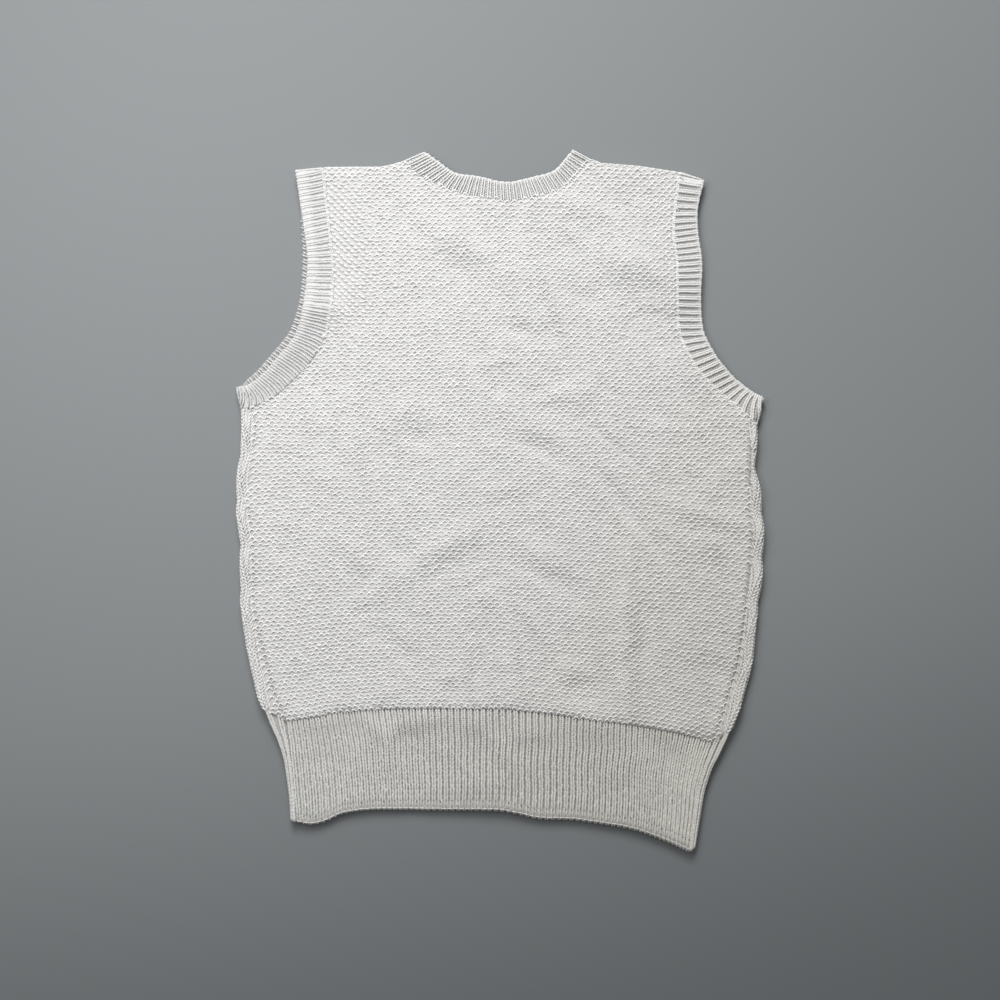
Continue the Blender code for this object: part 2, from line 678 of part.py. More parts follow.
def side_strip(cloth, rows, sign, in_body, cabled, ends):
    """The part of the front that comes up round a side fold and over the top to the side seam.

    Returns the plan points along its lower edge. `ends` are how far the first and the last row
    are moved along the side to leave the gap to the next piece.
    """
    folds = [Vector(row[0:2]) for row in rows]
    distances = lengths(folds)
    mesh_rows, lower = [], []
    for j, row in enumerate(rows):
        outline, seam = Vector(row[0:2]), Vector(row[2:4])
        shift = Vector((0.0, ends[0] if j == 0 else ends[1] if j == len(rows) - 1 else 0.0))
        outline, seam = outline + shift, seam + shift
        inward = (seam - outline).normalized()
        width = (seam - outline).length - SEAM_GAP / 2
        level = outline + inward * FOLD_DEPTH
        heights = [cable(distances[j], share) if cabled else 0.0 for share in CABLE_SHARES]
        halfway = outline + inward * (width + FOLD_DEPTH) / 2
        numbers = [
            on_back(cloth, outline + inward * width, in_body=in_body),
            on_back(cloth, halfway, heights[0], in_body=in_body),
            on_back(cloth, level, heights[1], in_body=in_body),
        ]
        for degrees, height in zip(FOLD_ANGLES, heights[2:] + [0.0]):
            middle, normal = folded(outline, level, math.radians(degrees), in_body)
            numbers.append(cloth.point(middle, normal, height))
        numbers.append(on_front(cloth, level))
        lower.append(level)
        mesh_rows.append(numbers if sign > 0 else numbers[::-1])
    cloth.grid(mesh_rows)
    return lower


def below_hem_line(share, offsets):
    """Where the front's hem line lies under the back's."""
    return hem_line(share) + offsets[0] * (1 - share) + offsets[1] * share


def front_line(left, right, height_at):
    """Plan points of a line across the front between two points, at the back's column shares."""
    rows = [row[0] for row in refine(HEM, 2)]
    return [Vector((left.x + (right.x - left.x) * s, height_at(s))) for s in rows[1:-1]]


def front_panel(material):
    cloth = Cloth()
    down, up = -SEAM_GAP / 2, SEAM_GAP / 2
    left_low = side_strip(cloth, split(left_side, 2), 1, True, True, (down, up))
    right_low = side_strip(cloth, split(right_side, 2), -1, True, True, (down, up))
    offsets = (left_low[-1].y - hem_line(0), right_low[-1].y - hem_line(1))
    hem = front_line(left_low[-1], right_low[-1], lambda s: below_hem_line(s, offsets))
    _, neck_seam = edges_of(front_neck_rows())
    sides = []
    for armhole in (left_armhole, right_armhole):
        _, seam = edges_of(front_rows(armhole))
        cut = walk(seam, FOLD_DEPTH)
        sides.append([cut] + seam[1:-1])
    top = neck_and_shoulder_line(neck_seam, sides[0][0], sides[1][0])
    top_plans = moved_left([point for point, _ in top], -SEAM_GAP / 2)
    left_hole = moved_left(sides[0], SEAM_GAP / 2)
    right_hole = moved_left(sides[1], -SEAM_GAP / 2)
    top_plans[0], top_plans[-1] = left_hole[0], right_hole[0]
    outline = left_low + hem + right_low[::-1] + right_hole[:0:-1] + top_plans[::-1] + left_hole[1:]
    cloth.faces.append([on_front(cloth, plan) for plan in reversed(outline)])
    add_shoulders(cloth, top, top_plans, -1)
    cloth.solid("front_panel", material)


# The hem


def back_hem_rib(material):
    cloth = Cloth()
    left = [Vector(row[2:4]) + Vector((SEAM_GAP / 2, 0)) for row in LEFT_HEM_SIDE]
    right = [Vector(row[2:4]) - Vector((SEAM_GAP / 2, 0)) for row in RIGHT_HEM_SIDE]
    steps = RIB_STEPS * round((right[0] - left[0]).length / HEM_RIB_PITCH)
    rows = []
    last = len(left) - 1
    for j, (start, end) in enumerate(zip(left, right)):
        t = j / last
        row = []
        for i in range(steps + 1):
            share = i / steps
            line_bend = hem_line(share) - hem_line(0) * (1 - share) - hem_line(1) * share
            edge_bend = hem_edge(share) - hem_edge(0) * (1 - share) - hem_edge(1) * share
            plan = start.lerp(end, share)
            plan.y += line_bend * (1 - t) + edge_bend * t
            plan.y += -SEAM_GAP / 2 if j == 0 else RIM if j == last else 0.0
            relief = RIB_HEIGHT * (0.5 if i % RIB_STEPS else -0.5)
            rim = Vector((0, -RIM, 0)) if j == last else None
            row.append(on_back(cloth, plan, relief, rim, in_body=False))
        rows.append(row)
    cloth.grid(rows)
    cloth.solid("back_hem_rib", material)


def front_hem_rib(material):
    cloth = Cloth()
    ends = (-SEAM_GAP / 2, 0.0)
    left_low = side_strip(cloth, LEFT_HEM_SIDE, 1, False, False, ends)
    right_low = side_strip(cloth, RIGHT_HEM_SIDE, -1, False, False, ends)
    line_offsets = (left_low[0].y - hem_line(0), right_low[0].y - hem_line(1))
    edge_offsets = (left_low[-1].y - hem_edge(0), right_low[-1].y - hem_edge(1))

    def edge_at(share):
        shorter = FRONT_HEM_SHORTER * math.sin(math.pi * share)
        return hem_edge(share) + edge_offsets[0] * (1 - share) + edge_offsets[1] * share + shorter

    edge = front_line(left_low[-1], right_low[-1], edge_at)
    line = front_line(left_low[0], right_low[0], lambda s: below_hem_line(s, line_offsets))
    outline = left_low + edge + right_low[::-1] + line[::-1]
    cloth.faces.append([on_front(cloth, plan) for plan in reversed(outline)])
    cloth.solid("front_hem_rib", material)


def wool(name, colour):
    material = bpy.data.materials.new(name)
    material.use_nodes = True
    shader = material.node_tree.nodes["Principled BSDF"]
    shader.inputs["Base Color"].default_value = (*colour, 1.0)
    shader.inputs["Roughness"].default_value = 0.9
    shader.inputs["Metallic"].default_value = 0.0
    return material


def main():
    for obj in list(bpy.data.objects):
        bpy.data.objects.remove(obj)
    back_panel(wool("back_knit", CREAM))
    front_panel(wool("front_knit", CREAM))
    back_hem_rib(wool("back_hem_knit", CREAM_RIB))
    front_hem_rib(wool("front_hem_knit", CREAM_RIB))
    band("neck_band", back_neck, front_neck_rows(), wool("neck_knit", CREAM_RIB))
    for side, armhole in (("left", left_armhole), ("right", right_armhole)):
        knit = wool(f"{side}_armhole_knit", CREAM_RIB)
        band(f"armhole_band_{side}", armhole, front_rows(armhole), knit)


main()
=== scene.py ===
import json
import math

import bmesh
import bpy
import numpy as np
from mathutils import Matrix

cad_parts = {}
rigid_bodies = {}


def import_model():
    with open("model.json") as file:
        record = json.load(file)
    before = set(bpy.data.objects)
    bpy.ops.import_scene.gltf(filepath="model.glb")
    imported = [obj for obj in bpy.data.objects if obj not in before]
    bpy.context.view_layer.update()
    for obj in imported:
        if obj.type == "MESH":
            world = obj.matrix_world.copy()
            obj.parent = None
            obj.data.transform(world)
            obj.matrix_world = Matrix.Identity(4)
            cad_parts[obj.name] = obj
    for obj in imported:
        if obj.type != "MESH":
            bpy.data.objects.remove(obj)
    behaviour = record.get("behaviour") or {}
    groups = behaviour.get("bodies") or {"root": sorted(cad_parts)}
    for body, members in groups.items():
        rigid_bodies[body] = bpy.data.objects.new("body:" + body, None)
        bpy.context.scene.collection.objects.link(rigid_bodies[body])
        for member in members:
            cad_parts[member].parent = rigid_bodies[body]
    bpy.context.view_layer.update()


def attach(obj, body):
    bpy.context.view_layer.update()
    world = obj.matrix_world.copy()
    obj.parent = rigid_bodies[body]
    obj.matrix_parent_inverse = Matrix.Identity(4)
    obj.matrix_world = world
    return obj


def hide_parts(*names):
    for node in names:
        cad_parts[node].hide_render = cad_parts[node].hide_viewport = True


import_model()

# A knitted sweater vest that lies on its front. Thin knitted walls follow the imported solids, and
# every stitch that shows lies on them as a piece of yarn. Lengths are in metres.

random = np.random.default_rng(7)

cloth = {  # as it lies
    "wall": 0.0030,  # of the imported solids
    "layerGap": 0.0004,
    "foldRadius": 0.0022,
    "baseLift": 0.0003,  # outer side of the thin wall, above the middle of the solid one
    "baseWall": 0.0016,
    "betweenRibs": 0.0003,  # how much lower the thin wall lies there
    "leastStep": 0.0005,  # between the points of a line that is cut short
    "weld": 0.00002,
}
loft = {
    "side": 0.0022, "hem": 0.0009, "hemBlend": 0.0300, "shoulder": 0.0011,
    "reach": 0.0180, "neckReach": 0.0090, "underarmReach": 0.0270,
    "blouse": 0.0021, "blouseReach": 0.0280, "roll": 0.0009, "rollReach": 0.0050,
}
creases = [  # centre x and y, half length, half width, turn in degrees, lift
    (0.000, 0.040, 0.320, 0.280, 0, 0.0024),
    (0.100, 0.275, 0.050, 0.016, -50, -0.0009),
    (0.125, 0.255, 0.050, 0.014, -50, 0.0007),
    (0.028, 0.262, 0.022, 0.009, 80, 0.0012),
    (0.016, 0.258, 0.020, 0.007, 85, -0.0007),
    (-0.080, -0.062, 0.058, 0.010, 33, 0.0012),
    (-0.045, -0.037, 0.030, 0.014, 27, 0.0020),
    (-0.036, -0.057, 0.028, 0.012, 22, -0.0009),
    (0.046, -0.073, 0.036, 0.012, -26, -0.0022),
    (0.047, -0.056, 0.026, 0.010, -25, 0.0012),
    (-0.029, 0.230, 0.048, 0.014, -30, 0.0030),
    (-0.034, 0.207, 0.034, 0.014, -28, -0.0010),
    (0.042, 0.187, 0.053, 0.005, -71, 0.0018),
    (0.036, 0.094, 0.040, 0.008, -32, -0.0011),
    (0.031, 0.067, 0.062, 0.009, -33, 0.0013),
    (0.015, 0.052, 0.034, 0.005, -30, -0.0006),
    (0.108, -0.003, 0.050, 0.007, -52, -0.0028),
    (0.070, 0.018, 0.024, 0.008, -40, 0.0009),
    (0.104, 0.048, 0.029, 0.004, -40, -0.0014),
    (0.120, 0.214, 0.034, 0.017, -20, 0.0038),
    (0.110, 0.188, 0.028, 0.014, -20, -0.0011),
    (0.148, 0.157, 0.028, 0.014, -12, -0.0042),
    (0.146, 0.176, 0.022, 0.009, -10, 0.0012),
    (0.090, 0.280, 0.024, 0.007, -42, -0.0020),
    (-0.128, 0.107, 0.186, 0.008, -90, 0.0011),
    (-0.031, -0.148, 0.048, 0.007, -85, 0.0011),
    (0.016, -0.149, 0.038, 0.007, -83, 0.0010),
    (0.066, -0.156, 0.015, 0.010, -20, 0.0017),
    (0.071, -0.175, 0.015, 0.010, -20, -0.0017),
    (0.118, -0.125, 0.062, 0.009, -88, 0.0032),
    (0.193, -0.016, 0.045, 0.008, -16, 0.0019),
    (-0.113, -0.121, 0.029, 0.009, -40, -0.0018),
    (0.069, 0.267, 0.032, 0.009, -12, 0.0018),
    (-0.003, 0.125, 0.026, 0.004, 6, 0.0010),
    (0.020, 0.153, 0.018, 0.008, -13, -0.0019),
    (-0.167, -0.199, 0.022, 0.012, 2, 0.0020),
    (-0.076, -0.197, 0.020, 0.012, 0, 0.0020),
    (0.086, -0.204, 0.022, 0.012, -3, 0.0020),
    (0.159, -0.212, 0.022, 0.012, -7, 0.0020),
    (0.198, 0.014, 0.033, 0.009, 41, 0.0010),
    (-0.080, 0.080, 0.028, 0.012, -12, 0.0006),
    (-0.022, -0.199, 0.018, 0.012, 0, 0.0016),
    (0.190, 0.235, 0.060, 0.018, 90, 0.0012),
    (-0.165, -0.283, 0.030, 0.012, 10, 0.0009),
    (0.000, -0.280, 0.060, 0.012, 0, 0.0007),
    (0.130, -0.300, 0.060, 0.014, -25, 0.0010),
]
smallFolds = {
    "count": 230, "x": (-0.225, 0.225), "y": (-0.290, 0.280), "length": (0.010, 0.030),
    "width": (0.006, 0.012), "turn": (-10, 35), "lift": (0, 0.00085),
}
for _ in range(smallFolds["count"]):
    evenly = [random.uniform(*smallFolds[key]) for key in ("x", "y", "length", "width")]
    creases.append((*evenly, *(random.normal(*smallFolds[key]) for key in ("turn", "lift"))))
frontMid = cloth["wall"] / 2
backMid = frontMid + cloth["wall"] + cloth["layerGap"]
foldDepth = cloth["wall"] / 2 + cloth["foldRadius"]

# Side edges from underarm to hem: fold x and y, then the side seam's x and y
leftSide = np.array([
    (-0.2375, 0.0821, -0.2277, 0.0830), (-0.2353, 0.0640, -0.2229, 0.0640),
    (-0.2386, 0.0320, -0.2279, 0.0320), (-0.2409, 0.0000, -0.2306, 0.0000),
    (-0.2386, -0.0270, -0.2268, -0.0270), (-0.2369, -0.0550, -0.2249, -0.0550),
    (-0.2370, -0.0960, -0.2245, -0.0940), (-0.2322, -0.1320, -0.2181, -0.1290),
    (-0.2278, -0.1535, -0.2114, -0.1550), (-0.2226, -0.1740, -0.2044, -0.1790),
    (-0.2177, -0.1886, -0.1953, -0.2017),
])
rightSide = np.array([
    (0.2346, 0.0693, 0.2268, 0.0745), (0.2331, 0.0500, 0.2283, 0.0520),
    (0.2327, 0.0290, 0.2277, 0.0290), (0.2377, 0.0000, 0.2273, 0.0000),
    (0.2395, -0.0320, 0.2302, -0.0320), (0.2382, -0.0680, 0.2269, -0.0680),
    (0.2345, -0.1020, 0.2229, -0.1020), (0.2300, -0.1480, 0.2165, -0.1470),
    (0.2237, -0.1720, 0.2092, -0.1720), (0.2175, -0.1920, 0.2017, -0.1970),
    (0.2115, -0.2075, 0.1930, -0.2208),
])
leftHemSide = np.array([
    (-0.2177, -0.1886, -0.1953, -0.2017), (-0.2108, -0.2050, -0.1937, -0.2130),
    (-0.2040, -0.2190, -0.1922, -0.2235), (-0.1982, -0.2360, -0.1908, -0.2370),
    (-0.1950, -0.2550, -0.1893, -0.2530), (-0.1927, -0.2730, -0.1878, -0.2720),
    (-0.1916, -0.2910, -0.1866, -0.2920),
])
rightHemSide = np.array([
    (0.2115, -0.2075, 0.1930, -0.2208), (0.2060, -0.2200, 0.1900, -0.2290),
    (0.2000, -0.2328, 0.1866, -0.2380), (0.1935, -0.2450, 0.1840, -0.2460),
    (0.1868, -0.2660, 0.1790, -0.2650), (0.1823, -0.2900, 0.1762, -0.2900),
    (0.1780, -0.3155, 0.1723, -0.3190),
])
hem = np.array([  # share of the width, the line where the rib starts, the free edge
    (0.00, -0.2017, -0.2920), (0.04, -0.1995, -0.2947), (0.08, -0.1971, -0.2911),
    (0.12, -0.1934, -0.2847), (0.20, -0.1912, -0.2813), (0.35, -0.1901, -0.2816),
    (0.50, -0.1903, -0.2818), (0.56, -0.1925, -0.2847), (0.62, -0.1948, -0.2895),
    (0.70, -0.1994, -0.2904), (0.78, -0.2035, -0.2942), (0.86, -0.2085, -0.2993),
    (0.93, -0.2135, -0.3080), (1.00, -0.2208, -0.3190),
])
# Bands from fold to fold: free edge x and y, seam x and y, how far the front half lies outside
leftArmhole = np.array([
    (-0.1866, 0.3011, -0.1615, 0.3039, 0.0000), (-0.1830, 0.2765, -0.1590, 0.2737, 0.0013),
    (-0.1784, 0.2445, -0.1556, 0.2445, 0.0033), (-0.1755, 0.2163, -0.1525, 0.2135, 0.0055),
    (-0.1784, 0.1852, -0.1533, 0.1852, 0.0050), (-0.1839, 0.1569, -0.1579, 0.1551, 0.0075),
    (-0.1921, 0.1424, -0.1647, 0.1378, 0.0085), (-0.2034, 0.1290, -0.1766, 0.1205, 0.0080),
    (-0.2149, 0.1159, -0.1903, 0.1068, 0.0078), (-0.2290, 0.1045, -0.2100, 0.0910, 0.0060),
    (-0.2360, 0.1030, -0.2277, 0.0830, 0.0015), (-0.2407, 0.1022, -0.2375, 0.0821, 0.0000),
])
rightArmhole = np.array([
    (0.1857, 0.2920, 0.1633, 0.2993, 0.0000), (0.1796, 0.2674, 0.1597, 0.2728, -0.0010),
    (0.1796, 0.2445, 0.1574, 0.2445, -0.0015), (0.1833, 0.2163, 0.1608, 0.2163, -0.0015),
    (0.1822, 0.1862, 0.1611, 0.1875, -0.0015), (0.1842, 0.1569, 0.1624, 0.1569, -0.0015),
    (0.1899, 0.1424, 0.1684, 0.1390, -0.0015), (0.1994, 0.1268, 0.1777, 0.1215, -0.0015),
    (0.2140, 0.1104, 0.1925, 0.1050, -0.0015), (0.2289, 0.0985, 0.2100, 0.0890, -0.0010),
    (0.2372, 0.0940, 0.2268, 0.0745, -0.0003), (0.2411, 0.0914, 0.2346, 0.0693, 0.0000),
])
backNeck = np.array([
    (-0.0702, 0.3174, -0.0899, 0.3089, 0.0), (-0.0634, 0.3127, -0.0821, 0.3034, 0.0),
    (-0.0548, 0.3068, -0.0730, 0.2956, 0.0), (-0.0461, 0.3002, -0.0607, 0.2885, 0.0),
    (-0.0379, 0.2965, -0.0470, 0.2829, 0.0), (-0.0269, 0.2954, -0.0333, 0.2787, 0.0),
    (-0.0160, 0.2935, -0.0187, 0.2762, 0.0), (-0.0032, 0.2902, -0.0027, 0.2740, 0.0),
    (0.0096, 0.2894, 0.0114, 0.2727, 0.0), (0.0214, 0.2918, 0.0260, 0.2749, 0.0),
    (0.0333, 0.2947, 0.0415, 0.2785, 0.0), (0.0443, 0.2975, 0.0538, 0.2825, 0.0),
    (0.0516, 0.3015, 0.0625, 0.2887, 0.0), (0.0579, 0.3090, 0.0710, 0.2988, 0.0),
    (0.0667, 0.3194, 0.0835, 0.3112, 0.0),
])
leftShoulder = np.array([
    (-0.1615, 0.3039), (-0.1100, 0.3039), (-0.1010, 0.3056), (-0.0899, 0.3089),
])
rightShoulder = np.array([
    (0.0835, 0.3112), (0.0926, 0.3075), (0.1264, 0.3048), (0.1633, 0.2993),
])
frontNeck = {"drop": 0.0900, "bandDrop": 0.0110, "steps": 48}


def refined(rows, parts):  # a smooth curve through the rows of a table
    ends = np.vstack([rows[:1], rows, rows[-1:]])
    made = []
    for i in range(len(rows) - 1):
        a, b, c, d = ends[i:i + 4]
        for k in range(parts):
            t = k / parts
            made.append(b + t / 2 * (c - a + t * (2 * a - 5 * b + 4 * c - d + t * (3 * (b - c) + d - a))))
    return np.array(made + [rows[-1]])


def distances(points):
    steps = np.linalg.norm(np.diff(points, axis=0), axis=1)
    return np.concatenate([[0.0], np.cumsum(steps)])


def alongLine(points, distance):
    along = distances(points)
    return np.stack([np.interp(distance, along, points[:, k]) for k in range(points.shape[1])], axis=-1)


def resampled(points, count):  # the same line in even steps
    return alongLine(points, np.linspace(0, distances(points)[-1], count))


def readAt(keys, table, at):
    return np.stack([np.interp(at, keys, table[..., k]) for k in range(table.shape[-1])], axis=-1)


def unit(vectors):
    return vectors / np.maximum(np.linalg.norm(vectors, axis=-1, keepdims=True), 1e-12)


def mix(a, b, t):
    return a + (b - a) * t


def bell(distance, reach):
    return np.exp(-((distance / reach) ** 2))


def fade(distance, reach):
    return bell(np.maximum(distance, 0.0), reach)


def smoothStep(value, low, high):
    t = np.clip((value - low) / (high - low), 0, 1)
    return t * t * (3 - 2 * t)


leftLine, rightLine = refined(leftSide, 8), refined(rightSide, 8)
leftHemLine, rightHemLine = refined(leftHemSide, 6), refined(rightHemSide, 6)
leftHole = np.vstack([refined(leftArmhole[:-1], 8), leftArmhole[-1:]])
rightHole = np.vstack([refined(rightArmhole[:-1], 8), rightArmhole[-1:]])
neckLine = refined(backNeck, 8)
hemCurve = refined(hem, 8)

leftFold = np.vstack([leftLine[:, :2], leftHemLine[1:, :2]])[::-1]
rightFold = np.vstack([rightLine[:, :2], rightHemLine[1:, :2]])[::-1]
shoulderEdge = np.vstack([
    leftArmhole[:1, :2], leftShoulder, backNeck[:1, :2],
    backNeck[-1:, :2], rightShoulder, rightArmhole[:1, :2],
])


def hemY(share):
    return np.interp(share, hemCurve[:, 0], hemCurve[:, 1])


def hemEdgeY(share):
    return np.interp(share, hemCurve[:, 0], hemCurve[:, 2])


def bodyLineY(x):  # where the body meets the hem, from fold to fold
    left, right = leftHemSide[0], rightHemSide[0]
    xs = [left[0]] + list(mix(left[2], right[2], hemCurve[:, 0])) + [right[0]]
    ys = [left[1]] + list(hemCurve[:, 1]) + [right[1]]
    return np.interp(x, xs, ys)


def sideLoft(x, y):
    total = np.zeros_like(x)
    for fold, sign, side, hemSide in (
        (leftFold, 1, leftSide, leftHemSide),
        (rightFold, -1, rightSide, rightHemSide),
    ):
        inHem = np.clip((hemSide[0, 1] - y) / loft["hemBlend"], 0, 1)
        height = mix(loft["side"], loft["hem"], inHem)
        inwards = sign * (x - np.interp(y, fold[:, 1], fold[:, 0]))
        total += height * fade(inwards, loft["reach"]) * fade(y - side[0, 1], loft["underarmReach"])
    return total


def shoulderLoft(x, y):
    insideNeck = np.minimum(x - backNeck[0, 0], backNeck[-1, 0] - x)
    below = np.interp(x, shoulderEdge[:, 0], shoulderEdge[:, 1]) - y
    return loft["shoulder"] * fade(below, loft["reach"]) * fade(insideNeck, loft["neckReach"])


def creaseLoft(x, y):
    total = np.zeros_like(x)
    for cx, cy, length, width, turn, lift in creases:
        c, s = math.cos(math.radians(turn)), math.sin(math.radians(turn))
        along, aside = (x - cx) * c + (y - cy) * s, (y - cy) * c - (x - cx) * s
        total += lift * bell(along, length) * bell(aside, width)
    return np.maximum(total, 0.0)


def backHeight(plan, inBody=True):
    x, y = plan[..., 0], plan[..., 1]
    height = backMid + sideLoft(x, y) + shoulderLoft(x, y) + creaseLoft(x, y)
    if inBody:
        aboveHem = y - bodyLineY(x)
        height = height + loft["blouse"] * fade(aboveHem, loft["blouseReach"])
        height = height - loft["roll"] * fade(aboveHem, loft["rollReach"])
    return height


def backNormal(plan, inBody=True):
    step = 0.0020
    dx, dy = np.array([step, 0.0]), np.array([0.0, step])
    riseX = backHeight(plan + dx, inBody) - backHeight(plan - dx, inBody)
    riseY = backHeight(plan + dy, inBody) - backHeight(plan - dy, inBody)
    return unit(np.stack([-riseX, -riseY, np.full_like(riseX, 2 * step)], axis=-1))


def onBack(plan, inBody=True):  # middle of the wall and its normal
    height = backHeight(plan, inBody)
    return np.concatenate([plan, height[..., None]], axis=-1), backNormal(plan, inBody)


def onFront(plan):
    middle = np.concatenate([plan, np.full(plan.shape[:-1] + (1,), frontMid)], axis=-1)
    return middle, np.broadcast_to(np.array([0.0, 0.0, -1.0]), middle.shape).copy()


def folded(outline, level, degrees, inBody=True):  # a wall that goes over at the outline
    angle = np.radians(degrees)
    inward = unit(level - outline)
    inset = cloth["wall"] / 2 + cloth["foldRadius"] * (1 - np.cos(angle))
    plan = mix(outline, level, (inset / foldDepth)[..., None])
    rise = (backHeight(level, inBody) - frontMid) / 2
    outward = -inward * (np.cos(angle) * rise)[..., None]
    normal = np.concatenate([outward, (np.sin(angle) * cloth["foldRadius"])[..., None]], axis=-1)
    middle = np.concatenate([plan, (frontMid + rise * (1 + np.sin(angle)))[..., None]], axis=-1)
    return middle, unit(normal)


def startedAt(line, distance):  # a line without its first stretch
    kept = line[distances(line) > distance + cloth["leastStep"]]
    return np.vstack([alongLine(line, distance), kept])


leftLevel = np.vstack([leftLine[::-1, 2:4], startedAt(leftHole[:-2, 2:4], foldDepth)[::-1]])
rightLevel = np.vstack([rightLine[::-1, 2:4], startedAt(rightHole[:-2, 2:4], foldDepth)[::-1]])
leftTop, rightTop = leftLevel[-1], rightLevel[-1]

fineness = {  # how many points the walls have
    "leftShoulder": 23, "rightShoulder": 25, "frontShoulder": 20, "shoulderFold": 6, "neck": 57,
    "side": 240, "height": 121, "hem": (193, 25), "lowerEdge": 61,
}


def shoulderLines(shoulder, armholeCut, neckCut, count):
    outline = resampled(shoulder, count)
    t = np.linspace(0, 1, count)[:, None]
    return outline, outline + mix(armholeCut - shoulder[0], neckCut - shoulder[-1], t)


neckSeam = neckLine[:, 2:4]
neckCuts = (alongLine(neckSeam, foldDepth), alongLine(neckSeam[::-1], foldDepth))
leftShoulderOut, leftShoulderIn = shoulderLines(
    leftShoulder, leftTop, neckCuts[0], fineness["leftShoulder"],
)
rightShoulderOut, rightShoulderIn = shoulderLines(
    rightShoulder[::-1], rightTop, neckCuts[1], fineness["rightShoulder"],
)
rightShoulderOut, rightShoulderIn = rightShoulderOut[::-1], rightShoulderIn[::-1]
neckInside = resampled(np.vstack([neckCuts[0], neckSeam[4:-4], neckCuts[1]]), fineness["neck"])
backTopLine = np.vstack([leftShoulderIn, neckInside[1:-1], rightShoulderIn])
backShares = (backTopLine[:, 0] - leftTop[0]) / (rightTop[0] - leftTop[0])


def backPlan(share, t):  # share of the width, and of the way from hem to top
    keys = np.linspace(0, 1, fineness["side"])
    start, end = resampled(leftLevel, len(keys)), resampled(rightLevel, len(keys))
    plan = mix(readAt(keys, start, t), readAt(keys, end, t), share[..., None])
    line = hemY(share) - mix(hemY(0), hemY(1), share)
    top = readAt(backShares, backTopLine, share) - mix(leftTop, rightTop, share[..., None])
    plan[..., 1] += line * (1 - t) ** 2
    return plan + top * (t ** 3)[..., None]


# A patch is a grid of points on the wall's middle, and a grid of normals
def backPatch():
    share, t = np.meshgrid(backShares, np.linspace(0, 1, fineness["height"]))
    return onBack(backPlan(share, t))


def shoulderPatch(outline, level, side=1):  # side is -1 for the front's half of the fold
    degrees = np.linspace(90, 0, fineness["shoulderFold"])[:, None] * side * np.ones(len(outline))
    shape = degrees.shape + (2,)
    middle, normal = folded(np.broadcast_to(outline, shape), np.broadcast_to(level, shape), degrees)
    if side < 0:
        middle[0], normal[0] = onFront(level)
    return middle, normal


def sideStrip(line, inBody, topSteps=5, foldSteps=10):  # from the side seam over and round the fold
    outline, seam = line[:, :2], line[:, 2:4]
    inward = unit(seam - outline)
    width = np.linalg.norm(seam - outline, axis=1)[:, None]
    level = outline + inward * foldDepth
    insets = [inward * mix(width, foldDepth, k / topSteps) for k in range(topSteps)]
    angles = [np.full(len(line), degrees) for degrees in np.linspace(90, -90, foldSteps + 1)]
    made = [onBack(outline + inset, inBody) for inset in insets]
    made += [folded(outline, level, degrees, inBody) for degrees in angles]
    points, normals = (np.stack(part, axis=1) for part in zip(*made))
    points[:, -1, 2], normals[:, -1] = frontMid, (0, 0, -1)
    return points, normals


hemDrift = np.array([  # how much further right ribs end than they start, in shares of the width
    (0.00, 0.0000), (0.10, 0.0145), (0.20, 0.0167), (0.33, 0.0110), (0.45, 0.0139), (0.60, 0.0209),
    (0.72, 0.0279), (0.82, 0.0315), (0.90, 0.0273), (0.96, 0.0153), (1.00, 0.0000),
])


def hemPatch():
    share, t = np.meshgrid(*(np.linspace(0, 1, count) for count in fineness["hem"]))
    share = share + np.interp(share, hemDrift[:, 0], hemDrift[:, 1]) * t
    keys = np.linspace(0, 1, len(leftHemLine))
    start, end = readAt(keys, leftHemLine[:, 2:4], t), readAt(keys, rightHemLine[:, 2:4], t)
    plan = mix(start, end, share[..., None])
    line = hemY(share) - mix(hemY(0), hemY(1), share)
    edge = hemEdgeY(share) - mix(hemEdgeY(0), hemEdgeY(1), share)
    plan[..., 1] += mix(line, edge, t)
    return onBack(plan, False)


def bandPatch(back, front, across=9, steps=120):  # a ring: back half, fold, front half, fold
    shares = np.linspace(0, 1, across)[:, None]

    def halfway(rows):
        edge, seam = rows[:, :2], rows[:, 2:4]
        along = (distances(edge) + distances(seam)) / 2
        at = np.linspace(foldDepth, along[-1] - foldDepth, steps + 1)
        return readAt(along, edge, at), readAt(along, seam, at)

    backHalf = [mix(edge, seam, shares) for edge, seam in zip(*halfway(back))]
    frontHalf = [mix(edge, seam, shares) for edge, seam in zip(*halfway(front))]

    def turned(end, angles):  # over the fold at one end of the two halves
        outline = mix(back[end, :2], back[end, 2:4], shares)
        levels = [backHalf[end] if degrees >= 0 else frontHalf[end] for degrees in angles]
        return [folded(outline, level, np.full(across, degrees)) for level, degrees in zip(levels, angles)]

    angles = (70.0, 50.0, 30.0, 10.0, -10.0, -30.0, -50.0, -70.0)
    made = [onBack(plan) for plan in backHalf] + turned(-1, angles)
    made += [onFront(plan) for plan in frontHalf[::-1]] + turned(0, angles[::-1])
    return tuple(np.array(part) for part in zip(*made))


def frontRows(rows):
    outward = unit(rows[:, :2] - rows[:, 2:4]) * rows[:, 4:5]
    return np.hstack([rows[:, :2] + outward, rows[:, 2:4] + outward])


def frontNeckRows():
    angle = np.linspace(0, math.pi, frontNeck["steps"] + 1)
    share, drop = (1 - np.cos(angle)) / 2, np.sin(angle)
    rows = mix(backNeck[0, :4], backNeck[-1, :4], share[:, None])
    rows[:, 1] -= frontNeck["drop"] * drop
    rows[:, 3] -= (frontNeck["drop"] + frontNeck["bandDrop"]) * drop
    return rows


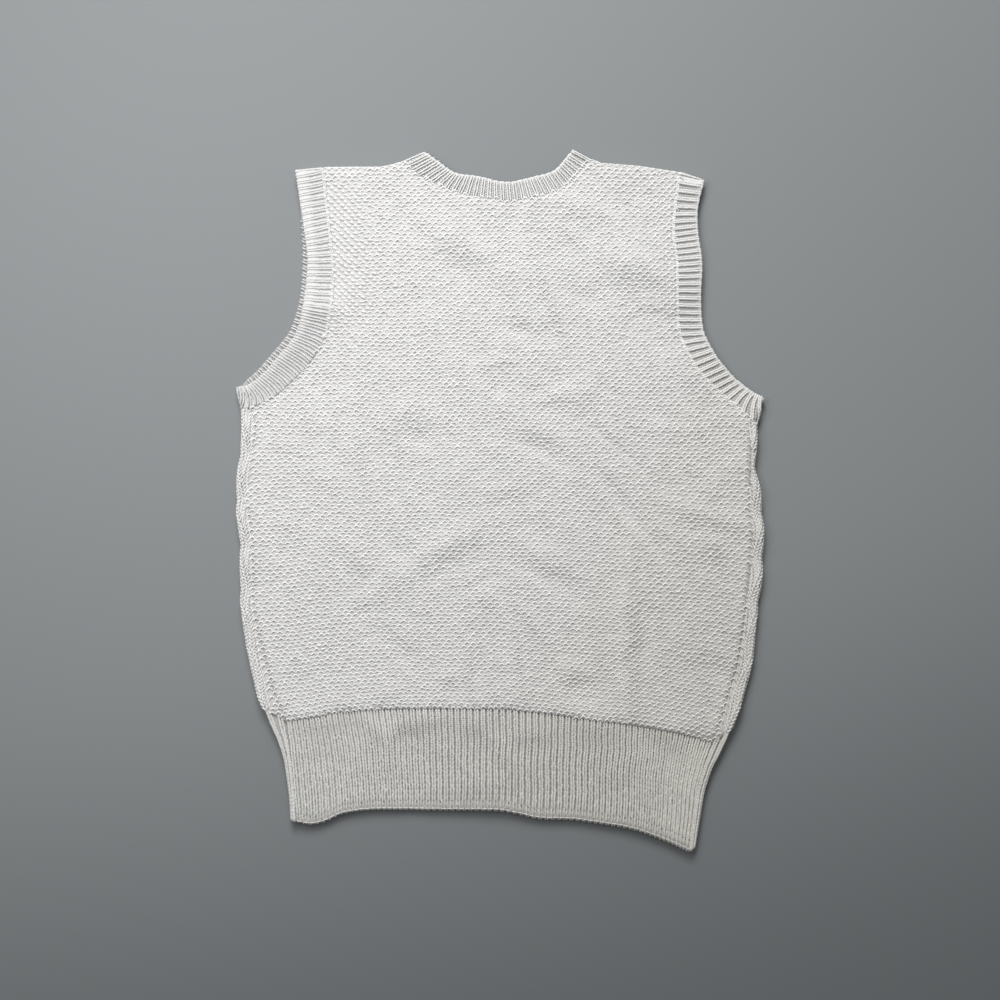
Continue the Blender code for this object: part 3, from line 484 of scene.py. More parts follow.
def addPatch(bm, points, normals, lift, crest):  # crest is 1 where the wall has the yarn's colour, lower where painted shade is mixed in
    crestLayer = bm.verts.layers.float.get("crest") or bm.verts.layers.float.new("crest")
    rows, columns = points.shape[:2]
    made = bmesh.ops.create_grid(bm, x_segments=columns - 1, y_segments=rows - 1, size=1.0)["verts"]
    outer = points + normals * np.broadcast_to(lift, points.shape[:2])[..., None]
    levels = np.broadcast_to(crest, points.shape[:2]).ravel()
    for vert, point, level in zip(made, outer.reshape(-1, 3), levels):
        vert.co = point
        vert[crestLayer] = level
    facing = np.cross(points[0, 1] - points[0, 0], points[1, 0] - points[0, 0]) @ normals[0, 0]
    if facing < 0:
        bmesh.ops.reverse_faces(bm, faces=list({face for vert in made for face in vert.link_faces}))


def meshFrom(name, bm):
    mesh = bpy.data.meshes.new(name)
    bm.to_mesh(mesh)
    bm.free()
    return mesh


def addObject(name, data):
    made = bpy.data.objects.new(name, data)
    bpy.context.scene.collection.objects.link(made)
    return made


def addPiece(name, mesh, material):
    mesh.shade_smooth()
    mesh.materials.append(material)
    piece = addObject(name, mesh)
    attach(piece, "root")
    return piece


def wallFrom(name, bm, material):
    bmesh.ops.remove_doubles(bm, verts=bm.verts[:], dist=cloth["weld"])
    piece = addPiece(name, meshFrom(name, bm), material)
    solid = piece.modifiers.new("wall", "SOLIDIFY")
    solid.thickness, solid.offset = cloth["baseWall"], -1.0
    return piece


# Materials: one yarn in several shades, some darker as painted shade, each with the same fibre grain,
# painted shade in its hollows and painted shade towards one corner

grainAndShadeFacts = {
    "fibres": {"Scale": 900.0, "Detail": 3.0},
    "patches": {"Scale": 260.0, "Detail": 2.0}, "patchShare": 0.4,
    "spread": {"From Min": 0.45, "From Max": 1.35, "To Min": -1.0, "To Max": 1.0},  # of both noises' sum
    "roughness": {"To Min": 0.82, "To Max": 0.98},
    "cornerShade": {  # painted shade: a slightly warmer, darker tint towards one corner, where less light falls
        "along": (0.85, -0.50, 0.0), "from": -0.03, "to": 0.36,
        "near": (1.0, 1.0, 1.0), "far": (0.875, 0.862, 0.826),
    },
    "bump": {"Distance": 0.0004, "Strength": 0.6},
    "shader": {"Sheen Weight": 0.15, "Sheen Roughness": 0.5, "Specular IOR Level": 0.2},
}
yarns = {  # colour of the yarn's crest, painted shade colour of its hollows, and how uneven it is
    # The Base colours, on the walls between the stitches, are darker than the yarns as painted shade, and
    # the rib colours are darker than the body's as painted shade of the hem's weaker light
    "bodyYarn": ((0.970, 0.965, 0.955), (0.79, 0.785, 0.775), 0.10),
    "bodyBase": ((0.87, 0.865, 0.855), (0.50, 0.495, 0.485), 0.06),
    "ribYarn": ((0.825, 0.820, 0.790), (0.66, 0.655, 0.63), 0.12),
    "ribBase": ((0.74, 0.73, 0.695), (0.46, 0.45, 0.425), 0.06),
    "foldYarn": ((0.83, 0.825, 0.805), (0.62, 0.615, 0.595), 0.10),
    "softYarn": ((0.785, 0.785, 0.782), (0.64, 0.638, 0.63), 0.09),
    "bandYarn": ((0.91, 0.91, 0.90), (0.66, 0.655, 0.645), 0.09),
    "bandBase": ((0.83, 0.825, 0.815), (0.34, 0.335, 0.32), 0.06),
    "edgeYarn": ((0.90, 0.895, 0.885), (0.64, 0.635, 0.62), 0.09),
}


def setInputs(tree, node, inputs):  # each is a value or another node's output
    for key, value in inputs.items():
        if isinstance(value, bpy.types.NodeSocket):
            tree.links.new(value, node.inputs[key])
        else:
            node.inputs[key].default_value = value


def addNode(tree, kind, inputs=None, **settings):
    node = tree.nodes.new(kind)
    for key, value in settings.items():
        setattr(node, key, value)
    setInputs(tree, node, inputs or {})
    return node


def shadeAlong(tree, place, tint):  # painted shade: from one colour to another in a level direction
    across = addNode(tree, "ShaderNodeVectorMath", {0: place, 1: tint["along"]}, operation="DOT_PRODUCT")
    share = addNode(tree, "ShaderNodeMapRange", {
        "Value": across.outputs["Value"], "From Min": tint["from"], "From Max": tint["to"],
    }, interpolation_type="SMOOTHSTEP")
    return addNode(tree, "ShaderNodeMix", {
        "Factor": share.outputs["Result"], "A": (*tint["near"], 1), "B": (*tint["far"], 1),
    }, data_type="RGBA").outputs["Result"]


def fibreGroup():  # ply twist, loose fibres and uneven dye of a spun yarn, with painted shade in its hollows and towards one corner
    tree = bpy.data.node_groups.new("fibreGrainAndShade", "ShaderNodeTree")
    for name, kind, value in (
        ("Yarn", "NodeSocketColor", (0.8, 0.8, 0.8, 1)),
        ("Hollow Shade", "NodeSocketColor", (0.6, 0.6, 0.6, 1)),
        ("Mottle", "NodeSocketFloat", 0.05),
        ("Fibre Scale", "NodeSocketFloat", grainAndShadeFacts["fibres"]["Scale"]),
    ):
        tree.interface.new_socket(name, in_out="INPUT", socket_type=kind).default_value = value
    for name, kind in (
        ("Colour", "NodeSocketColor"), ("Roughness", "NodeSocketFloat"), ("Height", "NodeSocketFloat"),
    ):
        tree.interface.new_socket(name, in_out="OUTPUT", socket_type=kind)
    start = addNode(tree, "NodeGroupInput").outputs
    place = addNode(tree, "ShaderNodeTexCoord").outputs["Object"]
    crest = addNode(tree, "ShaderNodeAttribute", attribute_name="crest").outputs["Fac"]
    toneAndShade = addNode(tree, "ShaderNodeAttribute", attribute_name="toneAndShade").outputs["Fac"]
    fibres = addNode(tree, "ShaderNodeTexNoise", {
        **grainAndShadeFacts["fibres"], "Vector": place, "Scale": start["Fibre Scale"],
    }).outputs["Fac"]
    patches = addNode(tree, "ShaderNodeTexNoise", {**grainAndShadeFacts["patches"], "Vector": place})
    # painted shade: the hollow colour where the crest is low
    hollowShadeMix = addNode(tree, "ShaderNodeMix", {
        "Factor": crest, "A": start["Hollow Shade"], "B": start["Yarn"],
    }, data_type="RGBA")
    uneven = addNode(tree, "ShaderNodeMath", {0: patches.outputs["Fac"], 1: toneAndShade}, operation="ADD")
    speckled = addNode(tree, "ShaderNodeMath", {
        0: uneven.outputs[0], 1: grainAndShadeFacts["patchShare"], 2: fibres,
    }, operation="MULTIPLY_ADD")
    spread = addNode(tree, "ShaderNodeMapRange", {**grainAndShadeFacts["spread"], "Value": speckled.outputs[0]})
    amount = addNode(tree, "ShaderNodeMath", {
        0: spread.outputs["Result"], 1: start["Mottle"], 2: 1.0,
    }, operation="MULTIPLY_ADD")
    shade = addNode(tree, "ShaderNodeVectorMath", {
        0: hollowShadeMix.outputs["Result"], "Scale": amount.outputs[0],
    }, operation="SCALE")
    rough = addNode(tree, "ShaderNodeMapRange", {**grainAndShadeFacts["roughness"], "Value": fibres})
    # painted shade, darker and warmer towards one corner
    cornerShaded = addNode(tree, "ShaderNodeVectorMath", {
        0: shade.outputs["Vector"], 1: shadeAlong(tree, place, grainAndShadeFacts["cornerShade"]),
    }, operation="MULTIPLY")
    addNode(tree, "NodeGroupOutput", {
        "Colour": cornerShaded.outputs["Vector"], "Roughness": rough.outputs["Result"], "Height": fibres,
    })
    return tree


grainAndShade = fibreGroup()


def knitMaterial(name, yarn, hollowShade, mottle):
    material = bpy.data.materials.new(name)
    material.use_nodes = True
    tree = material.node_tree
    group = addNode(tree, "ShaderNodeGroup", {
        "Yarn": (*yarn, 1), "Hollow Shade": (*hollowShade, 1), "Mottle": mottle,
        "Fibre Scale": grainAndShadeFacts["fibres"]["Scale"],
    }, node_tree=grainAndShade).outputs
    bump = addNode(tree, "ShaderNodeBump", {**grainAndShadeFacts["bump"], "Height": group["Height"]})
    setInputs(tree, tree.nodes["Principled BSDF"], {
        **grainAndShadeFacts["shader"],
        "Base Color": group["Colour"], "Roughness": group["Roughness"], "Normal": bump.outputs["Normal"],
    })
    return material


knit = {name: knitMaterial(name, *values) for name, values in yarns.items()}
print("materials ready")


def yarnTemplate(path, radii, crest=0.0):  # one stitch's yarn: u aside, v along, w outwards
    curve = bpy.data.curves.new("stitch", "CURVE")
    curve.dimensions, curve.twist_mode = "3D", "Z_UP"
    curve.bevel_depth, curve.bevel_resolution, curve.use_fill_caps = 1.0, 0, True
    spline = curve.splines.new("POLY")
    spline.points.add(len(path) - 1)
    for point, place, radius in zip(spline.points, path, radii):
        point.co, point.radius = (*place, 1.0), radius
    holder = addObject("stitch", curve)
    mesh = bpy.data.meshes.new_from_object(holder.evaluated_get(bpy.context.evaluated_depsgraph_get()))
    bm = bmesh.new()
    bm.from_mesh(mesh)
    bmesh.ops.remove_doubles(bm, verts=bm.verts[:], dist=1e-6)
    bmesh.ops.recalc_face_normals(bm, faces=bm.faces[:])
    points = np.array([vert.co[:] for vert in bm.verts])
    faces = [[vert.index for vert in face.verts] for face in bm.faces]
    bm.free()
    bpy.data.objects.remove(holder)
    bpy.data.curves.remove(curve)
    bpy.data.meshes.remove(mesh)
    # painted shade on the yarn's lower side: the share of the yarn's colour rises from its lowest point,
    # and crest lifts it towards the yarn's colour
    heights = np.array(path)[:, 2]
    level = np.interp(points[:, 2], [heights.min() - max(radii), heights.max() + max(radii) / 2], [0, 1])
    return points, faces, mix(level, 1.0, crest)


def placed(template, centre, side, along, normal):
    points = template[0]
    return (
        centre[:, None, :] + points[None, :, 0:1] * side[:, None, :]
        + points[None, :, 1:2] * along[:, None, :] + points[None, :, 2:3] * normal[:, None, :]
    )


def yarnPiece(name, sets, material):
    verts, faces, crest, toneAndShade = [], [], [], []
    offset = 0
    for template, centre, side, along, normal in sets:
        count, size = len(centre), len(template[0])
        verts.append(placed(template, centre, side, along, normal).reshape(-1, 3))
        starts = offset + np.arange(count)[:, None, None] * size
        for length in (3, 4):
            group = np.array([face for face in template[1] if len(face) == length])
            if len(group):
                mirrored = np.einsum("ij,ij->i", np.cross(side, along), normal) < 0
                made = (group[None] + starts).reshape(count, len(group), length)
                made[mirrored] = made[mirrored][:, :, ::-1]
                faces.append(made.reshape(-1, length))
        crest.append(np.tile(template[2], count))
        toneAndShade.append(np.repeat(random.random(count), size))
        offset += count * size
    mesh = bpy.data.meshes.new(name)
    mesh.from_pydata(np.vstack(verts), [], [face for group in faces for face in group.tolist()])
    mesh.attributes.new("crest", "FLOAT", "POINT").data.foreach_set("value", np.concatenate(crest))
    mesh.attributes.new("toneAndShade", "FLOAT", "POINT").data.foreach_set("value", np.concatenate(toneAndShade))
    return addPiece(name, mesh, material)


def onSheet(patch, row, column):  # point and normal of a patch between its grid points
    points, normals = patch
    rows, columns = points.shape[0] - 1, points.shape[1] - 1
    row, column = np.clip(row, 0, rows), np.clip(column, 0, columns)
    r0 = np.minimum(row.astype(int), rows - 1)
    c0 = np.minimum(column.astype(int), columns - 1)
    fr, fc = (row - r0)[..., None], (column - c0)[..., None]
    both = []
    for table in (points, normals):
        low = mix(table[r0, c0], table[r0, c0 + 1], fc)
        high = mix(table[r0 + 1, c0], table[r0 + 1, c0 + 1], fc)
        both.append(mix(low, high, fr))
    return both[0], unit(both[1])


# Half stitches one after another along each line of a patch; rows and columns are (lines, steps)
def legs(template, patch, rows, columns, offset, lift, mirrored=False, jitter=0.0001):
    points, normals = onSheet(patch, rows, columns)
    along = points[:, 1:] - points[:, :-1]
    normal = unit(normals[:, 1:] + normals[:, :-1])
    side = unit(np.cross(along, normal))
    centre = (points[:, 1:] + points[:, :-1]) / 2
    slip = random.normal(0, jitter, centre.shape[:2])[..., None]
    lift = np.broadcast_to(lift, centre.shape[:2])[..., None]
    centre = centre + side * (offset + slip) + normal * lift
    side = -side if mirrored else side
    return (template, *(table.reshape(-1, 3) for table in (centre, side, along, normal)))


def legPair(template, patch, rows, columns, gap, lift, flipped=False, jitter=0.0001):
    return [
        legs(template, patch, rows, columns, sign * gap, lift, (sign < 0) != flipped, jitter)
        for sign in (-1, 1)
    ]


# Shapes of single yarns

stitch = {  # a purl arc
    "pitch": 0.0065, "row": 0.00324, "rise": 0.0031, "peak": 1.5, "dip": 0.0005,
    "thick": 0.00071, "lift": 0.00076, "riseMiddle": 0.42, "dipMiddle": 0.4,
    "steps": (-1.0, -0.66, -0.24, 0.24, 0.66, 1.0), "radii": (0.68, 0.85, 1.13, 1.13, 0.85, 0.68),
}
arcSteps = np.array(stitch["steps"])
arcPath = np.stack([
    arcSteps * stitch["pitch"] * 0.5,
    stitch["rise"] * (stitch["riseMiddle"] - np.abs(arcSteps) ** stitch["peak"]),
    stitch["dip"] * (stitch["dipMiddle"] - arcSteps ** 2),
], axis=-1)
arcShape = yarnTemplate(arcPath, np.array(stitch["radii"]) * stitch["thick"])
stroke = {  # a short slanting yarn, where the cloth is pulled askew
    "path": (
        (-0.0025, 0.0000, -0.0003), (-0.0011, 0.0004, 0.0002),
        (0.0011, 0.0004, 0.0002), (0.0025, -0.0003, -0.0003),
    ),
    "radii": (0.00055, 0.00110, 0.00110, 0.00055),
}
strokeShape = yarnTemplate(stroke["path"], stroke["radii"])
leg = {  # half of a V stitch, a little higher at its upper end
    "steps": (-1.0, -0.4, 0.4, 1.0), "radii": (0.65, 1.0, 1.0, 0.7), "middle": 0.3, "slope": 0.5,
}


def legShape(radius, lean, overlap=0.75, dip=0.0004, row=0.003, crest=0.0):  # in metres, v in rows
    steps = np.array(leg["steps"])
    outwards = dip * (leg["middle"] + leg["slope"] * steps - steps ** 2)
    path = np.stack([steps * lean, steps * overlap * row, outwards], axis=-1)
    points, faces, level = yarnTemplate(path, np.array(leg["radii"]) * radius, crest)
    return points * np.array([1.0, 1.0 / row, 1.0]), faces, level


# crest lessens the painted shade on a leg's lower side
chainLeg = legShape(0.00105, 0.00060, row=0.0031, crest=0.5)
cableLeg = legShape(0.00092, 0.00115, overlap=0.62, row=0.0032, crest=0.3)
holeLeg = legShape(0.00085, 0.00120, row=0.0030)
beadLeg = legShape(0.00080, 0.00000, overlap=0.30, dip=0.0001, row=0.0028)
cordLeg = legShape(0.00105, 0.00000, overlap=0.62, dip=0.0003, row=0.0060, crest=0.5)
edgeCord = {"column": 0.12, "lift": 0.0001}  # the row along a free edge

# Back panel and its stitches

body = {
    "columns": 71, "rows": 156, "beyond": 4.0, "start": 0.0012,
    "middle": 0.4, "fadeHeight": 0.28, "fadePower": 1.4,  # rows follow the hem here, and level out above
    "waves": 0.0006, "jitter": 0.00031, "tilt": 0.07, "unevenSize": 0.10, "unevenLift": 0.00013,
    "edge": 0.0005, "firstRowEdge": 0.0006, "overSeam": 0.0012, "besideCable": 0.0112,
    # the wall between stitches gets this share of its yarn's colour, the rest painted shade
    "seamDip": 0.0003, "raise": 0.0002, "toneAndShade": 0.60,
    "leanFrom": (0.12, 0.20), "leanTo": (0.305, 0.275),  # heights where the lean starts and ends
    "strokeLean": -0.25, "strokeSpread": 0.09,  # stitches that lean more are strokes
    "shoulderRows": ((1.8, 0.25), (4.2, 0.75)),  # row of the fold's grid, and where the first arc lies
}
backGrid = backPatch()
leftShoulderFold = shoulderPatch(leftShoulderOut, leftShoulderIn)
rightShoulderFold = shoulderPatch(rightShoulderOut, rightShoulderIn)
edgeDip = np.zeros(backGrid[0].shape[:2])
edgeDip[:, [0, -1]] = body["seamDip"]
bm = bmesh.new()
for patch, dip in ((backGrid, edgeDip), (leftShoulderFold, 0.0), (rightShoulderFold, 0.0)):
    addPatch(bm, *patch, cloth["baseLift"] + body["raise"] - dip, body["toneAndShade"])
backBase = wallFrom("backPanel", bm, knit["bodyBase"])
print("back wall", len(backBase.data.polygons), "faces")

hemOutline = np.stack([mix(leftHemSide[0, 2], rightHemSide[0, 2], hemCurve[:, 0]), hemCurve[:, 1]], axis=-1)
backOutline = np.vstack([leftLevel, backTopLine, rightLevel[::-1], hemOutline[::-1]])


def insideBy(plan, outline):  # distance inside a closed outline, negative outside it
    nearest, inside = np.full(len(plan), 1e9), np.zeros(len(plan), bool)
    x, y = plan[:, 0], plan[:, 1]
    for (ax, ay), (bx, by) in zip(outline, np.roll(outline, -1, axis=0)):
        ex, ey = bx - ax, by - ay
        if ex * ex + ey * ey < 1e-14:  # the same point twice
            continue
        t = np.clip(((x - ax) * ex + (y - ay) * ey) / (ex * ex + ey * ey), 0, 1)
        nearest = np.minimum(nearest, np.hypot(x - ax - t * ex, y - ay - t * ey))
        if ay != by:
            inside ^= ((ay > y) != (by > y)) & (x < ax + (y - ay) / (by - ay) * ex)
    return np.where(inside, nearest, -nearest)


def farFrom(plan, line):
    return -insideBy(plan, np.vstack([line, line[::-1]]))


def lattice(column, row):  # plan point of a stitch; columns and rows may be fractions
    share = (column + 0.5) / body["columns"]
    height = row * stitch["row"]
    middleY = hemY(body["middle"])
    bend = (hemY(share) - middleY) * np.clip(1 - height / body["fadeHeight"], 0, 1) ** body["fadePower"]
    y = middleY + body["start"] + height + bend
    left = np.interp(y, leftLine[::-1, 3], leftLine[::-1, 2])
    right = np.interp(y, rightLine[::-1, 3], rightLine[::-1, 2])
    x = mix(left, right, share)
    # Slow waves, so that no row or column is quite straight
    x = x + body["waves"] * np.sin(y / 0.021 + 1.7 * np.sin(x / 0.05))
    y = y + body["waves"] * (np.sin(x / 0.017 + y / 0.031) + 0.7 * np.sin(x / 0.043 - y / 0.012))
    return np.stack([x, y], axis=-1)


leans = (  # armhole, which way is inwards, the turn in radians beside it, and how far that reaches
    (leftHole, 1, -0.52, 0.040), (rightHole, -1, 0.20, 0.020),
)


def leanAt(plan):
    total = np.zeros(len(plan))
    for hole, sign, turn, reach in leans:
        seamX = np.interp(plan[:, 1], hole[::-1, 3], hole[::-1, 2])
        besideHole = smoothStep(plan[:, 1], *body["leanFrom"])
        total += turn * fade(sign * (plan[:, 0] - seamX), reach) * besideHole
    top, bottom = body["leanTo"]
    return total * smoothStep(-plan[:, 1], -top, -bottom)


def lifted(planVector, normal, length):  # a plan direction laid on the cloth
    vector = np.concatenate([planVector, np.zeros((len(planVector), 1))], axis=1)
    vector = vector - normal * np.einsum("ij,ij->i", vector, normal)[:, None]
    return vector / length


columnsAt = np.arange(-body["beyond"], body["columns"] + body["beyond"])
column, row = np.meshgrid(columnsAt, np.arange(float(body["rows"])))
column = (column + 0.5 * (row % 2)).ravel()
row = row.ravel()
plan = lattice(column, row)
inside = insideBy(plan, backOutline)
overSeam = np.zeros(len(plan), bool)
for seam in (leftHole[:, 2:4], rightHole[:, 2:4], neckLine[:, 2:4]):
    overSeam |= farFrom(plan, seam) < body["overSeam"]
sideOutline = np.vstack([leftLine[:, :2], hemOutline, rightLine[::-1, :2]])
onSide = insideBy(plan, sideOutline) > body["edge"]
for line in (leftLine, rightLine):
    onSide &= farFrom(plan, line[:, :2]) > body["besideCable"]
inPanel = inside > np.where(row > 0, body["edge"], body["firstRowEdge"])
kept = inPanel | (overSeam & (inside > -body["overSeam"])) | onSide
column, row, plan = column[kept], row[kept], plan[kept]
sidePlan = lattice(column + 0.5, row) - lattice(column - 0.5, row)
upPlan = lattice(column, row + 0.5) - lattice(column, row - 0.5)
plan = plan + random.normal(0, body["jitter"], plan.shape)
middle, normal = onBack(plan)
side = lifted(sidePlan, normal, stitch["pitch"])
along = lifted(upPlan, normal, stitch["row"])
lean = leanAt(plan)
leaning = lean + random.normal(0, body["strokeSpread"], len(plan)) < body["strokeLean"]
turn = (lean + random.normal(0, body["tilt"], len(plan)))[:, None]
size = 1 + random.normal(0, body["unevenSize"], len(plan))[:, None]
side, along = side * np.cos(turn) + along * np.sin(turn), along * np.cos(turn) - side * np.sin(turn)
along = along * size
unevenLift = random.normal(0, body["unevenLift"], len(plan))
centre = middle + normal * (stitch["lift"] + unevenLift)[:, None]


def arcsOn(patch, row, column, near=0.4):  # stitches at these places of a patch
    middle, normal = onSheet(patch, row, column)
    side = unit(onSheet(patch, row, column + near)[0] - onSheet(patch, row, column - near)[0])
    return arcShape, middle + normal * stitch["lift"], side, np.cross(normal, side), normal


shoulderArcs = []
for fold in (leftShoulderFold, rightShoulderFold):
    length = distances(fold[0][-1])
    for row, start in body["shoulderRows"]:
        at = np.arange(start * stitch["pitch"], length[-1], stitch["pitch"])
        at = np.interp(at, length, np.arange(len(length)))
        shoulderArcs.append(arcsOn(fold, np.full_like(at, row), at))
bodyStitches = []
bodyParts = ("backStitchesLow", "backStitchesMiddle", "backStitchesTop")
for name, part in zip(bodyParts, np.array_split(np.arange(len(plan)), len(bodyParts))):
    sets = []
    for shape, chosen in ((arcShape, part[~leaning[part]]), (strokeShape, part[leaning[part]])):
        sets.append((shape, centre[chosen], side[chosen], along[chosen], normal[chosen]))
    sets += shoulderArcs if name == "backStitchesTop" else []
    bodyStitches.append(yarnPiece(name, sets, knit["bodyYarn"]))
print("body stitches", len(plan), "of", len(arcShape[1]), "faces")

# Hem rib: pairs of strands that sink into a smooth free edge

hemRib = {
    "ribs": 70, "rows": 31, "row": 0.0029, "length": 0.0900, "crowd": 0.08, "jitter": 0.00008,
    "radius": 0.00118, "lean": 0.00018, "gap": 0.00114, "lift": 0.0006, "betweenRibs": 0.0005,
    "edgeReach": 0.0042, "sink": 0.0009, "fill": 0.0010,  # ribs sink into the wall at the free edge
    "paintedLeftLight": 0.6, "paintedLeftLightEnds": 0.40,  # painted light: paler between the ribs as far as this share
    "sway": ((0.07, 2.9, 0.11), (0.04, 1.1, 0.35)),  # size, length in rows, and shift from rib to rib
    "unevenSway": 0.03,
}
hemLeg = legShape(hemRib["radius"], hemRib["lean"], overlap=0.95, dip=0.0002, row=hemRib["row"])
hemGrid = hemPatch()
gridRows, gridColumns = hemGrid[0].shape[0] - 1, hemGrid[0].shape[1] - 1
edgeFill = fade(np.linspace(hemRib["length"], 0.0, gridRows + 1), hemRib["edgeReach"])[:, None]
paintedLeftLight = 1 - smoothStep(np.linspace(0, 1, gridColumns + 1), 0.0, hemRib["paintedLeftLightEnds"])
paintedLeftLight = hemRib["paintedLeftLight"] * paintedLeftLight[None]
bm = bmesh.new()
hemLift = cloth["baseLift"] - hemRib["betweenRibs"] + hemRib["fill"] * edgeFill
# painted shade between the ribs, except by the free edge and where painted light makes the left side paler
addPatch(bm, *hemGrid, hemLift, np.maximum(edgeFill, paintedLeftLight))
hemBase = wallFrom("backHemRib", bm, knit["ribBase"])
stepRows = np.linspace(0, gridRows, hemRib["rows"] + 1) * np.ones((hemRib["ribs"], 1))
ribShare = (np.arange(hemRib["ribs"]) + 0.5) / hemRib["ribs"]
# Ribs lie closer near the sides
ribShare = ribShare - hemRib["crowd"] * np.sin(2 * math.pi * ribShare) / (2 * math.pi)
ribColumns = (ribShare * gridColumns)[:, None]
sway = sum(size * np.sin(stepRows / length + ribColumns * shift) for size, length, shift in hemRib["sway"])
sway = sway + hemRib["unevenSway"] * random.normal(0, 1, stepRows.shape)
ribColumns = ribColumns + sway
legFromEdge = (np.arange(hemRib["rows"]) + 0.5) * hemRib["row"]
legLift = hemRib["lift"] - hemRib["sink"] * fade(legFromEdge, hemRib["edgeReach"])
sets = legPair(
    hemLeg, hemGrid, stepRows[:, ::-1], ribColumns[:, ::-1], hemRib["gap"], legLift,
    jitter=hemRib["jitter"],
)
edgeColumns = np.linspace(0, gridColumns, hemRib["ribs"] + 1)[None]
edgeRows = np.full_like(edgeColumns, gridRows - edgeCord["column"])
sets.append(legs(cordLeg, hemGrid, edgeRows, edgeColumns, 0, edgeCord["lift"]))
hemStitches = yarnPiece("backHemStitches", sets, knit["ribYarn"])
print("hem legs", sum(len(one[1]) for one in sets))

# Front panel: level below, over the side edges and up to the side seams

frontLift = cloth["wall"] / 2
wrap = {  # columns are placed inwards from the outline
    # the strip's wall gets a share of its yarn's colour, the rest painted shade, deeper in the groove
    "row": 0.0032, "halfStitch": 0.00125, "seamDip": 0.0003, "toneAndShade": 0.60,
    "below": -0.35, "nearSeam": 0.0004,  # no stitch faces further down, or lies nearer to the seam
    "holes": 0.0096, "holeLift": -0.0002, "holeHalf": 0.0012,
    "grooveDip": 0.0008, "grooveReach": 0.0018, "grooveShade": 0.5,
    "cable": 0.0410, "cableLength": 0.1950, "cableHeight": 0.0016, "cableLift": 0.0004, "flattest": 0.2,
    "strandPlace": 0.0022, "strandSwing": 0.0030, "strandHalf": 0.0026, "strandLift": 0.0006,
}
stripColumn = {"stitches": 6, "cable": 8, "outline": 10, "hidden": 12}  # of a side strip's grid


def cableEnding(along, least):  # 1 up to near the cable's end
    return np.clip((wrap["cableLength"] - along) / wrap["cable"], least, 1)


def cabled(strip):  # lobes of the cable that runs down the fold
    points, normals = strip
    along = distances(points[:, stripColumn["cable"]])[:, None]
    share = np.linspace(0, 1, points.shape[1])[None]
    lobe = np.abs(np.sin(math.pi * along / wrap["cable"])) - 0.5
    rise = wrap["cableHeight"] * lobe * np.sin(math.pi * share) * cableEnding(along, 0)
    return points + normals * rise[..., None], normals


def runAcross(points):  # distance of each grid point from the side seam
    spacing = np.linalg.norm(np.diff(points, axis=1), axis=2)
    return np.concatenate([np.zeros((len(points), 1)), np.cumsum(spacing, axis=1)], axis=1)


leftStrip, rightStrip = cabled(sideStrip(leftLine, True)), cabled(sideStrip(rightLine, True))
stripColumns = leftStrip[0].shape[1]
pastOutline = smoothStep(np.arange(stripColumns), stripColumn["outline"], stripColumns - 1)
hidden = smoothStep(np.arange(stripColumns), stripColumn["hidden"], stripColumns - 1)
stripLift = mix(cloth["baseLift"], frontLift, pastOutline)
stripLift[0] -= wrap["seamDip"]


def grooved(strip):  # lift of a side strip, with a groove along the inner side of its cable, and its share of the yarn's colour, with painted shade on the strip and deeper in the groove
    run = runAcross(strip[0])
    groove = bell(run[:, stripColumn["outline"], None] - run - wrap["holes"], wrap["grooveReach"])
    toneAndShade = mix(wrap["toneAndShade"] * (1 - wrap["grooveShade"] * groove), 1.0, hidden[None])
    return stripLift[None] - wrap["grooveDip"] * groove, toneAndShade


leftHoleFront = startedAt(frontRows(leftHole)[:, 2:4], foldDepth)[:-1]
rightHoleFront = startedAt(frontRows(rightHole)[:, 2:4], foldDepth)[:-1]
frontNeckSeam = frontNeckRows()[:, 2:4]
frontNeckCuts = (alongLine(frontNeckSeam, foldDepth), alongLine(frontNeckSeam[::-1], foldDepth))
frontShoulders = []
for shoulder, hole, cut in (
    (leftShoulder, leftHoleFront, frontNeckCuts[0]),
    (rightShoulder[::-1], rightHoleFront, frontNeckCuts[1]),
):
    frontShoulders.append(shoulderLines(shoulder, hole[0], cut, fineness["frontShoulder"]))
neckBelow = startedAt(startedAt(frontNeckSeam, foldDepth)[::-1], foldDepth)[::-1][1:-1]


def lineBelow(leftPoint, rightPoint, heightAt):
    share = np.linspace(0, 1, fineness["lowerEdge"])
    low = mix(leftPoint[1] - heightAt(0), rightPoint[1] - heightAt(1), share)
    return np.stack([mix(leftPoint[0], rightPoint[0], share), heightAt(share) + low], axis=-1)[1:-1]


def addFlat(bm, outline):  # the level part of the front, facing down
    crestLayer = bm.verts.layers.float.get("crest")
    verts = [bm.verts.new((x, y, frontMid - frontLift)) for x, y in outline]
    for vert in verts:
        vert[crestLayer] = 1.0
    level = bm.faces.new(verts)
    level.normal_update()
    made = bmesh.ops.triangulate(bm, faces=[level], ngon_method="EAR_CLIP")["faces"]
    bm.normal_update()
    bmesh.ops.reverse_faces(bm, faces=[face for face in made if face.normal.z > 0])


